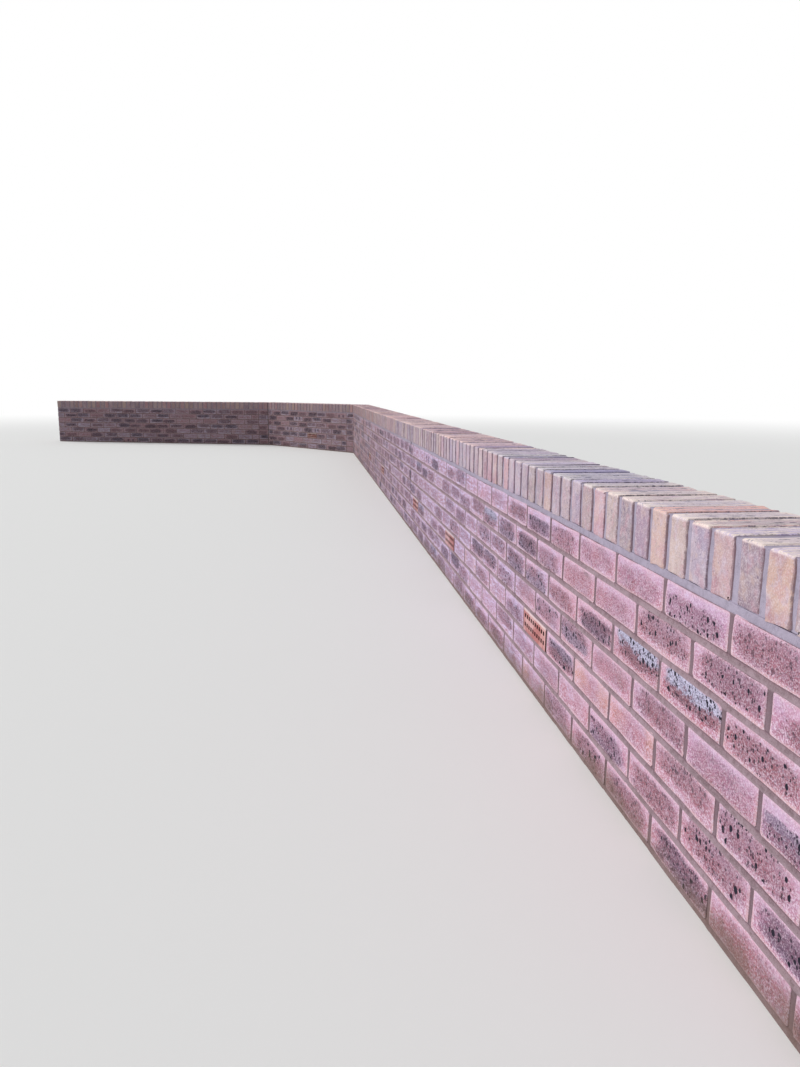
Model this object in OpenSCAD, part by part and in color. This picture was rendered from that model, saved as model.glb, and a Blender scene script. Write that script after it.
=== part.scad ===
/* [Brick] */
// Length of a brick
brick_l = 215; // [200:1:240]
// Width of a brick, which is the depth of one leaf
brick_w = 102.5; // [90:0.5:115]
// Height of a brick
brick_h = 65; // [50:1:80]
// Mortar joint between bricks
joint_w = 10; // [8:0.5:14]
// Depth that the mortar is raked back from the face
rake_d = 4; // [1:0.5:8]

/* [Wall] */
// Courses of stretchers under the coping
courses = 7; // [5:1:12]
// Mortar bed under the brick-on-edge coping
coping_bed_h = 15; // [10:0.5:25]
// Chamfer on the worn top arrises of the coping
coping_arris = 3; // [1:0.5:6]

/* [Bays] */
// Bricks along the near bay
near_bricks = 18; // [18:1:24]
// Bricks along the middle bay
middle_bricks = 18; // [15:1:24]
// Whole bricks from the corner bay's start to its corner, where a half bat makes up the bond
leg_one_bricks = 8; // [4:1:14]
// Whole bricks from the corner to the bend, past a cut bat and a half bat
leg_two_bricks = 8; // [5:1:14]
// Whole bricks along the left bay, past a cut bat
left_bricks = 15; // [8:1:22]
// Cut bats that close each course at a turn
squint_bat = 140; // [110:1:170]
// Turn of the wall at the bonded corner, in degrees
corner_turn = 35.5; // [5:0.5:60]
// Turn of the wall at the bend's movement joint, in degrees
bend_turn = 37.5; // [5:0.5:60]

/* [Movement joints] */
// Width of a movement joint
move_joint_w = 12; // [8:1:20]
// Depth of the sealant in a movement joint
sealant_d = 12; // [6:1:25]
// Depth that the sealant lies back from the face
sealant_back = 4; // [1:0.5:8]

/* [Air bricks] */
// Course of the air bricks, counted from the ground
vent_course = 3; // [1:1:5]
// Depth of an air brick
vent_d = 60; // [40:1:80]
// Side of a square hole in an air brick
vent_hole = 12; // [8:0.5:14]
// Spacing of the holes along an air brick
vent_pitch = 20; // [18:0.5:20]
// Spacing of the two rows of holes
vent_row_pitch = 26; // [20:0.5:30]
// Holes along one row
vent_cols = 10; // [4:1:10]
// Rows of holes
vent_rows = 2; // [1:1:2]
// Places of the air bricks in the near bay, in bricks from its near end
near_vents = [5.5, 11.5, 16.5];
// Places of the air bricks in the middle bay, in bricks from its near end
middle_vents = [7.5, 13.5];
// Whole bricks between the cut bat at the corner and the air brick after it
corner_vents = [3];

/* [Hidden] */

brick_colour = "#b4787a";
coping_colour = "#c89c8a";
mortar_colour = "#9a8880";
coping_mortar_colour = "#96969f";
filler_colour = "#5a5450";
sealant_colour = "#6c5f5c";
air_brick_colour = "#c8693f";

brick_pitch = brick_l + joint_w;
course_h = brick_h + joint_w;
wall_t = 2 * brick_w + joint_w;
leaf_h = courses * course_h;
coping_z = leaf_h + coping_bed_h;
wall_h = coping_z + brick_w;
vent_z = joint_w + (vent_course - 1) * course_h;
// A cut passes this far beyond the face that it opens
over = 5;

// Lengths of the bays along the lawn face
near_l = near_bricks * brick_pitch - joint_w;
middle_l = middle_bricks * brick_pitch - joint_w;
leg_one_l = (leg_one_bricks + 0.5) * brick_pitch - joint_w / 2;
leg_two_l = joint_w / 2 + squint_bat + (leg_two_bricks + 0.5) * brick_pitch;
left_l = squint_bat + left_bricks * brick_pitch;

// Headings of the three straight runs, anticlockwise from +Y
first_run = 0;
second_run = first_run + corner_turn;
third_run = second_run + bend_turn;

// Unit vectors along a run and across it, towards the back of the wall
function along(heading) = [-sin(heading), cos(heading)];
function across(heading) = [cos(heading), sin(heading)];

// Vector from a turn's front corner that keeps step with both faces, per millimetre of depth
function mitre(heading_a, heading_b) =
    let (half = (heading_b - heading_a) / 2)
    across((heading_a + heading_b) / 2) / cos(half);

// Half of the bend's movement joint, measured along each face
bend_half_gap = move_joint_w / 2 / cos(bend_turn / 2);

// Places along the lawn face, from the near end, before they are centred
middle_start = along(first_run) * (near_l + move_joint_w);
corner_start = middle_start + along(first_run) * (middle_l + move_joint_w);
corner_point = corner_start + along(first_run) * leg_one_l;
bend_point = corner_point + along(second_run) * (leg_two_l + bend_half_gap);
left_end = bend_point + along(third_run) * (bend_half_gap + left_l);
corner_mitre = mitre(first_run, second_run);
bend_mitre = mitre(second_run, third_run);

// A station is a point on the lawn face, the way that its cut runs through the wall, and its run's heading
near_bay = [
    [[0, 0], across(first_run), first_run],
    [along(first_run) * near_l, across(first_run), first_run],
];
middle_bay = [
    [middle_start, across(first_run), first_run],
    [middle_start + along(first_run) * middle_l, across(first_run), first_run],
];
corner_bay = [
    [corner_start, across(first_run), first_run],
    [corner_point, corner_mitre, first_run],
    [bend_point - along(second_run) * bend_half_gap, bend_mitre, second_run],
];
left_bay = [
    [bend_point + along(third_run) * bend_half_gap, bend_mitre, third_run],
    [left_end, across(third_run), third_run],
];
joint_one = [near_bay[1], middle_bay[0]];
joint_two = [middle_bay[1], corner_bay[0]];
bend_heading = (second_run + third_run) / 2;
bend_joint = [
    [corner_bay[2][0], bend_mitre, bend_heading],
    [left_bay[0][0], bend_mitre, bend_heading],
];

// The wall's own middle on the ground
outline = [
    for (bay = [near_bay, middle_bay, corner_bay, left_bay], station = bay, depth = [0, wall_t])
        station[0] + station[1] * depth
];
outline_x = [for (point = outline) point[0]];
outline_y = [for (point = outline) point[1]];
middle = [(min(outline_x) + max(outline_x)) / 2, (min(outline_y) + max(outline_y)) / 2];

// A station moved along its own run
function moved(station, reach) = [station[0] + along(station[2]) * reach, station[1], station[2]];

// A bay with both of its ends moved outwards, so that a cut passes through them
function stretched(bay, reach) = [
    for (i = [0 : len(bay) - 1])
        moved(bay[i], i == 0 ? -reach : i == len(bay) - 1 ? reach : 0)
];

// Plan of a bay between two depths from the lawn face
function plan(bay, front, back) = concat(
    [for (station = bay) station[0] + station[1] * front - middle],
    [for (i = [len(bay) - 1 : -1 : 0]) bay[i][0] + bay[i][1] * back - middle]
);

// Upright slab that follows a bay
module slab(bay, front, back, low, high) {
    translate([0, 0, low])
        linear_extrude(high - low)
            polygon(plan(bay, front, back));
}

// Profile of depths and heights, anticlockwise, carried along a bay and mitred at its turn
module swept(bay, profile) {
    corners = len(profile);
    points = [
        for (station = bay, corner = profile)
            let (spot = station[0] + station[1] * corner[0] - middle)
            [spot[0], spot[1], corner[1]]
    ];
    sides = [
        for (i = [0 : len(bay) - 2], j = [0 : corners - 1])
            let (next = (j + 1) % corners)
            [i * corners + j, i * corners + next, (i + 1) * corners + next, (i + 1) * corners + j]
    ];
    start_cap = [for (j = [corners - 1 : -1 : 0]) j];
    end_cap = [for (j = [0 : corners - 1]) (len(bay) - 1) * corners + j];
    polyhedron(points, concat([start_cap], sides, [end_cap]));
}

// Places something at a brick's seat in a run, with X towards the back and Y along the run
module at_brick(start, heading, place) {
    spot = start + along(heading) * place * brick_pitch - middle;
    translate([spot[0], spot[1], vent_z])
        rotate([0, 0, heading])
            children();
}

// Seats of a bay's air bricks, as the run's start, its heading and the place in bricks
near_seats = [for (place = near_vents) [[0, 0], first_run, place]];
middle_seats = [for (place = middle_vents) [middle_start, first_run, place]];
corner_seats = [
    for (place = corner_vents)
        [corner_point + along(second_run) * (joint_w / 2 + squint_bat + joint_w), second_run, place]
];

// Duct through the wall behind each air brick, where both leaves leave a brick out
module ducts(seats) {
    for (seat = seats)
        at_brick(seat[0], seat[1], seat[2])
            translate([-over, 0, 0])
                cube([wall_t + 2 * over, brick_l, brick_h]);
}

// Bed joints raked back from one face of the wall
module raked_beds(bay, front, back) {
    for (course = [0 : courses - 1])
        slab(
            stretched(bay, over), front, back,
            course * course_h - (course == 0 ? over : 0), course * course_h + joint_w
        );
}

module front_leaf(bay, seats) {
    color(brick_colour)
        difference() {
            slab(bay, 0, brick_w, 0, leaf_h);
            raked_beds(bay, -over, rake_d);
            ducts(seats);
        }
}

module back_leaf(bay, seats) {
    color(brick_colour)
        difference() {
            slab(bay, brick_w + joint_w, wall_t, 0, leaf_h);
            raked_beds(bay, wall_t - rake_d, wall_t + over);
            ducts(seats);
        }
}

module collar_joint(bay, seats) {
    color(mortar_colour)
        difference() {
            slab(bay, brick_w, brick_w + joint_w, 0, leaf_h);
            ducts(seats);
        }
}

module coping_bed(bay) {
    color(coping_mortar_colour)
        slab(bay, rake_d, wall_t - rake_d, leaf_h, coping_z);
}

// Chamfers that wear has left along the coping's two top arrises
module worn_arrises(bay) {
    low = wall_h - coping_arris - over;
    high = wall_h + over;
    swept(
        stretched(bay, over),
        [[-over, low], [coping_arris + over, high], [-over, high]]
    );
    swept(
        stretched(bay, over),
        [[wall_t + over, low], [wall_t + over, high], [wall_t - coping_arris - over, high]]
    );
}

module coping(bay) {
    color(coping_colour)
        difference() {
            slab(bay, 0, wall_t, coping_z, wall_h);
            worn_arrises(bay);
        }
}

// Board that fills a movement joint inside its sealant
module joint_filler(gap) {
    inset = sealant_back + sealant_d;
    color(filler_colour)
        slab(gap, inset, wall_t - inset, 0, wall_h - inset);
}

// Sealant up the front, over the coping and down the back of a movement joint
module joint_sealant(gap) {
    inset = sealant_back + sealant_d;
    color(sealant_colour)
        difference() {
            slab(gap, sealant_back, wall_t - sealant_back, 0, wall_h - sealant_back);
            slab(stretched(gap, over), inset, wall_t - inset, -over, wall_h - inset);
        }
}

// Terracotta air brick with its face at X = 0
module air_brick() {
    first_col = (brick_l - (vent_cols - 1) * vent_pitch) / 2;
    first_row = (brick_h - (vent_rows - 1) * vent_row_pitch) / 2;
    color(air_brick_colour)
        difference() {
            cube([vent_d, brick_l, brick_h]);
            for (col = [0 : vent_cols - 1], row = [0 : vent_rows - 1])
                translate([-over, first_col + col * vent_pitch - vent_hole / 2,
                           first_row + row * vent_row_pitch - vent_hole / 2])
                    cube([vent_d + 2 * over, vent_hole, vent_hole]);
        }
}

module front_air_brick(seat) {
    at_brick(seat[0], seat[1], seat[2])
        air_brick();
}

// The same air bricks face the other way at the back of the wall
module back_air_bricks(seats) {
    for (seat = seats)
        at_brick(seat[0], seat[1], seat[2])
            translate([wall_t, 0, 0])
                mirror([1, 0, 0])
                    air_brick();
}

module near_front_leaf() { front_leaf(near_bay, near_seats); }
module near_collar_joint() { collar_joint(near_bay, near_seats); }
module near_back_leaf() { back_leaf(near_bay, near_seats); }
module near_coping_bed() { coping_bed(near_bay); }
module near_coping() { coping(near_bay); }
module middle_front_leaf() { front_leaf(middle_bay, middle_seats); }
module middle_collar_joint() { collar_joint(middle_bay, middle_seats); }
module middle_back_leaf() { back_leaf(middle_bay, middle_seats); }
module middle_coping_bed() { coping_bed(middle_bay); }
module middle_coping() { coping(middle_bay); }
module corner_front_leaf() { front_leaf(corner_bay, corner_seats); }
module corner_collar_joint() { collar_joint(corner_bay, corner_seats); }
module corner_back_leaf() { back_leaf(corner_bay, corner_seats); }
module corner_coping_bed() { coping_bed(corner_bay); }
module corner_coping() { coping(corner_bay); }
module left_front_leaf() { front_leaf(left_bay, []); }
module left_collar_joint() { collar_joint(left_bay, []); }
module left_back_leaf() { back_leaf(left_bay, []); }
module left_coping_bed() { coping_bed(left_bay); }
module left_coping() { coping(left_bay); }
module joint_one_filler() { joint_filler(joint_one); }
module joint_one_sealant() { joint_sealant(joint_one); }
module joint_two_filler() { joint_filler(joint_two); }
module joint_two_sealant() { joint_sealant(joint_two); }
module bend_joint_filler() { joint_filler(bend_joint); }
module bend_joint_sealant() { joint_sealant(bend_joint); }
module near_air_brick_one() { front_air_brick(near_seats[0]); }
module near_air_brick_two() { front_air_brick(near_seats[1]); }
module near_air_brick_three() { front_air_brick(near_seats[2]); }
module middle_air_brick_one() { front_air_brick(middle_seats[0]); }
module middle_air_brick_two() { front_air_brick(middle_seats[1]); }
module corner_air_brick() { front_air_brick(corner_seats[0]); }
module near_back_air_bricks() { back_air_bricks(near_seats); }
module middle_back_air_bricks() { back_air_bricks(middle_seats); }
module corner_back_air_brick() { back_air_bricks(corner_seats); }

near_front_leaf();
near_collar_joint();
near_back_leaf();
near_coping_bed();
near_coping();
middle_front_leaf();
middle_collar_joint();
middle_back_leaf();
middle_coping_bed();
middle_coping();
corner_front_leaf();
corner_collar_joint();
corner_back_leaf();
corner_coping_bed();
corner_coping();
left_front_leaf();
left_collar_joint();
left_back_leaf();
left_coping_bed();
left_coping();
joint_one_filler();
joint_one_sealant();
joint_two_filler();
joint_two_sealant();
bend_joint_filler();
bend_joint_sealant();
near_air_brick_one();
near_air_brick_two();
near_air_brick_three();
middle_air_brick_one();
middle_air_brick_two();
corner_air_brick();
near_back_air_bricks();
middle_back_air_bricks();
corner_back_air_brick();
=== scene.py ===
"""Dresses the brick garden wall: bricks, mortar, coping, movement joints and air bricks."""

from __future__ import annotations

import logging
import math
from dataclasses import astuple, dataclass, field
from enum import Enum

import bpy
import numpy as np
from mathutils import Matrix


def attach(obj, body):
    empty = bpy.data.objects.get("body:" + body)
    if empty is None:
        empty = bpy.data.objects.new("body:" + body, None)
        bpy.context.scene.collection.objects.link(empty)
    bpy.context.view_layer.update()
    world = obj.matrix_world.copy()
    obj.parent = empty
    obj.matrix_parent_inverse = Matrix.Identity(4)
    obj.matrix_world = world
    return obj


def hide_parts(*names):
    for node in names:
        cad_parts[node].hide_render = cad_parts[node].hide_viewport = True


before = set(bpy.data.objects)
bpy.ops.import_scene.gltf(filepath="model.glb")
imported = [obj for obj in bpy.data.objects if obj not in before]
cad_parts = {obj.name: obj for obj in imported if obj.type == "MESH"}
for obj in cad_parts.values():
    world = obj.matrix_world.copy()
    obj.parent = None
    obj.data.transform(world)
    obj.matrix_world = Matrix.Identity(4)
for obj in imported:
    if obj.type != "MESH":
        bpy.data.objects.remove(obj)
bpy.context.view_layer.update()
LOG = logging.getLogger("garden_wall")

# Sizes of the brickwork in metres, as the solids have them
BRICK_L = 0.215
BRICK_W = 0.1025
BRICK_H = 0.065
JOINT = 0.010
PITCH = BRICK_L + JOINT
COURSE = BRICK_H + JOINT
COURSES = 7
WALL_T = 2 * BRICK_W + JOINT
LEAF_H = COURSES * COURSE
COPING_Z = LEAF_H + 0.015
WALL_H = COPING_Z + BRICK_W
HALF_BAT = BRICK_W
SQUINT_BAT = 0.140
MOVE_JOINT = 0.012
CORNER_TURN = math.radians(35.5)
BEND_TURN = math.radians(37.5)
VENT_COURSE = 5
VENT_Z = JOINT + 2 * COURSE

# Least depth of a brick's face inside the solids
SKIN = 0.0002

# Mortar edges sharper than this many degrees stay sharp
MORTAR_EDGE = 50.0

# A mitred end's slant fades out over one part in this many of its leg
MITRE_PARTS = 8

Colour = tuple[float, float, float, float]


class Side(Enum):
    """Face of the wall that a brick shows on."""

    FRONT = 1
    BACK = -1

    @property
    def face(self) -> float:
        """Depth of the face from the lawn face."""
        return 0.0 if self is Side.FRONT else WALL_T


@dataclass(frozen=True)
class Mark:
    """What the kiln left on a brick's face, each from 0 to 1."""

    patch: float = 0.0
    dark: float = 0.0
    blue: float = 0.0
    spots: float = 0.0
    orange: float = 0.0
    pair: float = 0.0


class Firing(Enum):
    """Kinds of brick by how the kiln marked them."""

    PLAIN = Mark(patch=0.12, spots=0.05)
    WEAK = Mark(patch=0.50, dark=0.05, spots=0.25)
    BROWN = Mark(patch=0.85, dark=0.20, spots=0.45)
    DOTTED = Mark(patch=0.80, dark=0.30, spots=1.00)
    DARK = Mark(patch=1.00, dark=0.80, blue=0.25, spots=0.80)
    BLUE = Mark(patch=1.00, dark=0.45, blue=0.60, spots=0.80)
    WHITE = Mark(patch=1.00, dark=0.35, blue=1.00, spots=1.00)
    ORANGE = Mark(patch=0.25, spots=0.10, orange=1.00)
    PAIR = Mark(patch=0.15, dark=0.70, spots=0.10, pair=1.00)


KINDS = tuple(Firing)

# Share of each kind of firing, in the order of the kinds above
RUN_MIX = (0.08, 0.17, 0.31, 0.17, 0.10, 0.10, 0.015, 0.05, 0.005)
FAR_MIX = (0.13, 0.10, 0.15, 0.09, 0.375, 0.02, 0.005, 0.09, 0.04)

# Bricks that stand out in the near bay. Each row is a course from the top, each digit a
# brick from the near end by its kind's number above, and a dot is a brick left to chance
NEAR_ROWS = (".23112421", "2331124562", ".366425523", "5121531355", ".32775.202", ".32..1..0..4")
NEAR_MARKS = {
    (course, place): KINDS[int(digit)]
    for course, row in enumerate(NEAR_ROWS, start=1)
    for place, digit in enumerate(row)
    if digit != "."
}


def srgb(red: int, green: int, blue: int) -> Colour:
    """Linear colour of screen values from 0 to 255."""
    values = np.array([red, green, blue]) / 255.0
    linear = np.where(values <= 0.04045, values / 12.92, ((values + 0.055) / 1.055) ** 2.4)
    return (*linear.tolist(), 1.0)


# Plan of the wall


@dataclass(frozen=True)
class Leg:
    """One straight run of a bay, with the slant of its end cuts.

    A place along the run is a distance s from the start of its lawn face, and a depth
    from that face: point = start + along * s + across * depth. An end cut slides by
    its slant for each metre of depth, so that both sides of a turn meet on one plane.
    """

    start: tuple[float, float]
    heading: float
    length: float
    low_slant: float = 0.0
    high_slant: float = 0.0

    def place(self, s: np.ndarray, depth: np.ndarray, z: np.ndarray) -> np.ndarray:
        """Points in the row frame, with a last axis of three."""
        sine, cosine = math.sin(self.heading), math.cos(self.heading)
        x = self.start[0] - sine * s + cosine * depth
        y = self.start[1] + cosine * s + sine * depth
        return np.stack(np.broadcast_arrays(x, y, z), axis=-1)

    def end(self) -> tuple[float, float]:
        """Lawn face point at the far end of the run."""
        point = self.place(np.array(self.length), np.array(0.0), np.array(0.0))
        return (float(point[0]), float(point[1]))

    def low(self, depth: np.ndarray) -> np.ndarray:
        """Where the run starts at a depth."""
        return self.low_slant * depth

    def high(self, depth: np.ndarray) -> np.ndarray:
        """Where the run ends at a depth."""
        return self.length + self.high_slant * depth


@dataclass(frozen=True)
class Bond:
    """Lengths of the stretchers in a leg's odd and even courses, counted from the top."""

    odd: tuple[float, ...]
    even: tuple[float, ...]
    offset: float = 0.0

    def lengths(self, course: int) -> tuple[float, ...]:
        """Lengths in one course."""
        return self.odd if course % 2 else self.even


@dataclass(frozen=True)
class Bay:
    """Part of the wall between two movement joints or free ends.

    Where the coping laps the bond, its joints stand over the top course's upright
    joints, and a half brick's length at each end is filled by two cut bricks.
    """

    name: str
    legs: tuple[Leg, ...]
    bonds: tuple[Bond, ...]
    vents: tuple[tuple[int, float], ...] = ()
    free_low: bool = False
    free_high: bool = False
    coping_laps_bond: bool = False
    mix: tuple[float, ...] = RUN_MIX
    marked: dict[tuple[int, int], Firing] = field(default_factory=dict)
    seed: int = 1

    def free_ends(self, number: int) -> tuple[bool, bool]:
        """Whether a leg's low end and its high end are free ends of the wall."""
        return self.free_low and number == 0, self.free_high and number == len(self.legs) - 1

    def leg_vents(self, number: int) -> list[float]:
        """Where a leg's air bricks start."""
        return [place for on_leg, place in self.vents if on_leg == number]

    def leg_values(self, numbers: np.ndarray) -> tuple[np.ndarray, ...]:
        """Lengths, low slants and high slants of the legs that bricks stand on."""
        table = np.array([(leg.length, leg.low_slant, leg.high_slant) for leg in self.legs])[numbers]
        return table[:, 0:1], table[:, 1:2], table[:, 2:3]

    def bare_ends(self, rows: np.ndarray) -> np.ndarray:
        """1 for each brick that ends the wall, from rows of leg, low end and high end."""
        at_low = self.free_low & (rows[:, 0] == 0) & (rows[:, 1] < JOINT / 2)
        last = rows[:, 0] == len(self.legs) - 1
        at_high = self.free_high & last & (rows[:, 2] > self.legs[-1].length - JOINT / 2)
        return (at_low | at_high).astype(float)

    def place(self, numbers: np.ndarray, s: np.ndarray, depth: np.ndarray, z: np.ndarray) -> np.ndarray:
        """Points in the row frame, one row of places for each entry in the leg numbers."""
        placed = np.stack([leg.place(s, depth, z) for leg in self.legs])
        return placed[numbers, np.arange(len(numbers))]


@dataclass(frozen=True)
class WallPlan:
    """Plan of the whole wall, centred as the solids are."""

    near_bricks: int = 18
    middle_bricks: int = 18
    leg_one_bricks: int = 8
    leg_two_bricks: int = 8
    left_bricks: int = 15
    near_vents: tuple[float, ...] = (5.5, 11.5, 16.5)
    middle_vents: tuple[float, ...] = (7.5, 13.5)
    corner_vent: float = 3.0

    def chain(self, origin: tuple[float, float]) -> tuple[Leg, ...]:
        """Lays the legs end to end, with a movement joint between two bays.

        Args:
            origin: Lawn face point at the near end.

        Returns:
            The near and middle bays' legs, the corner bay's two and the left bay's.
        """
        near_l = self.near_bricks * PITCH - JOINT
        middle_l = self.middle_bricks * PITCH - JOINT
        leg_one_l = (self.leg_one_bricks + 0.5) * PITCH - JOINT / 2
        leg_two_l = JOINT / 2 + SQUINT_BAT + (self.leg_two_bricks + 0.5) * PITCH
        left_l = SQUINT_BAT + self.left_bricks * PITCH
        corner_slant, bend_slant = math.tan(CORNER_TURN / 2), math.tan(BEND_TURN / 2)
        half_gap = MOVE_JOINT / 2 / math.cos(BEND_TURN / 2)
        second, third = CORNER_TURN, CORNER_TURN + BEND_TURN
        x, y = origin
        near = Leg(origin, 0.0, near_l)
        middle = Leg((x, y + near_l + MOVE_JOINT), 0.0, middle_l)
        one = Leg((x, y + near_l + middle_l + 2 * MOVE_JOINT), 0.0, leg_one_l, 0.0, corner_slant)
        two = Leg(one.end(), second, leg_two_l, -corner_slant, bend_slant)
        bend = Leg(two.end(), second, half_gap).end()
        left = Leg(Leg(bend, third, half_gap).end(), third, left_l, -bend_slant, 0.0)
        return near, middle, one, two, left

    def centred(self) -> tuple[Leg, ...]:
        """The chain with the middle of its outline at the origin."""
        legs = self.chain((0.0, 0.0))
        depths = np.array([0.0, WALL_T])
        corners = np.concatenate(
            [leg.place(cut(depths), depths, 0 * depths) for leg in legs for cut in (leg.low, leg.high)]
        )
        middle = (corners.min(axis=0) + corners.max(axis=0)) / 2
        return self.chain((-float(middle[0]), -float(middle[1])))

    def bays(self) -> tuple[Bay, ...]:
        """The near, middle, corner and left bays with their bonds and air bricks."""
        near, middle, one, two, left = self.centred()
        near_vents, middle_vents = (
            tuple((0, place * PITCH) for place in places) for places in (self.near_vents, self.middle_vents)
        )
        corner_vent = JOINT / 2 + SQUINT_BAT + JOINT + self.corner_vent * PITCH
        whole = (BRICK_L,)
        run = Bond((HALF_BAT, *whole * (self.near_bricks - 1), HALF_BAT), whole * self.near_bricks)
        bond_one = Bond((HALF_BAT, *whole * self.leg_one_bricks), (*whole * self.leg_one_bricks, HALF_BAT))
        bond_two = Bond(
            (SQUINT_BAT, *whole * self.leg_two_bricks, HALF_BAT),
            (SQUINT_BAT, HALF_BAT, *whole * self.leg_two_bricks),
            JOINT / 2,
        )
        bond_left = Bond(
            (SQUINT_BAT, *whole * self.left_bricks),
            (SQUINT_BAT, HALF_BAT, *whole * (self.left_bricks - 1), HALF_BAT),
        )
        return (
            Bay(
                "near", (near,), (run,), near_vents,
                free_low=True, coping_laps_bond=True, marked=NEAR_MARKS, seed=11,
            ),
            Bay("middle", (middle,), (run,), middle_vents, seed=12),
            Bay("corner", (one, two), (bond_one, bond_two), ((1, corner_vent),), mix=FAR_MIX, seed=13),
            Bay("left", (left,), (bond_left,), free_high=True, mix=FAR_MIX, seed=14),
        )


# Meshes


def make_object(
    name: str,
    points: np.ndarray,
    faces: list[np.ndarray],
    material: bpy.types.Material,
    attributes: dict[str, np.ndarray] | None = None,
    smooth_angle: float = 40.0,
) -> bpy.types.Object:
    """Puts whole arrays of points and faces into a new mesh object.

    Args:
        name: Name of the piece.
        points: Points, with a last axis of three.
        faces: Arrays of faces, each with one number of corners.
        material: Finish of the piece.
        attributes: Vectors kept on the points for the finish to read.
        smooth_angle: Edges sharper than this many degrees stay sharp.

    Returns:
        The object, linked to the scene at the origin.
    """
    mesh = bpy.data.meshes.new(name)
    mesh.vertices.add(points.size // 3)
    mesh.vertices.foreach_set("co", points.astype(np.float32).ravel())
    corners = np.concatenate([part.ravel() for part in faces]).astype(np.int32)
    totals = np.concatenate([np.full(len(part), part.shape[1]) for part in faces])
    starts = np.concatenate([[0], np.cumsum(totals)[:-1]]).astype(np.int32)
    mesh.loops.add(len(corners))
    mesh.loops.foreach_set("vertex_index", corners)
    mesh.polygons.add(len(starts))
    mesh.polygons.foreach_set("loop_start", starts)
    for key, values in (attributes or {}).items():
        layer = mesh.attributes.new(key, "FLOAT_VECTOR", "POINT")
        layer.data.foreach_set("vector", values.astype(np.float32).ravel())
    mesh.update(calc_edges=True)
    mesh.validate()
    mesh.polygons.foreach_set("use_smooth", np.ones(len(mesh.polygons), bool))
    mesh.set_sharp_from_angle(angle=math.radians(smooth_angle))
    mesh.materials.append(material)
    piece = bpy.data.objects.new(name, mesh)
    bpy.context.scene.collection.objects.link(piece)
    return piece


def finish_piece(piece: bpy.types.Object, slot: str, *nodes: str) -> None:
    """Hangs a piece on the wall's one body, hides the solids that it replaces, and logs its faces.

    Args:
        piece: The piece.
        slot: Name of the slot that its finish belongs to; not used.
        nodes: Solids that it replaces.
    """
    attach(piece, "root")
    if nodes:
        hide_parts(*nodes)
    LOG.info("%s: %d faces", piece.name, len(piece.data.polygons))


def grid_faces(index: np.ndarray, closed: bool = False) -> np.ndarray:
    """Four-cornered faces of a grid of point numbers, whose rows may close on themselves."""
    if closed:
        index = np.column_stack([index, index[:, :1]])
    return np.stack([index[:-1, :-1], index[:-1, 1:], index[1:, 1:], index[1:, :-1]], -1).reshape(-1, 4)


def within(random: np.random.Generator, limit: float, *shape: int) -> np.ndarray:
    """Normal draws of a shape, with none beyond the limit."""
    return np.clip(random.normal(size=shape), -limit, limit)


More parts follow.
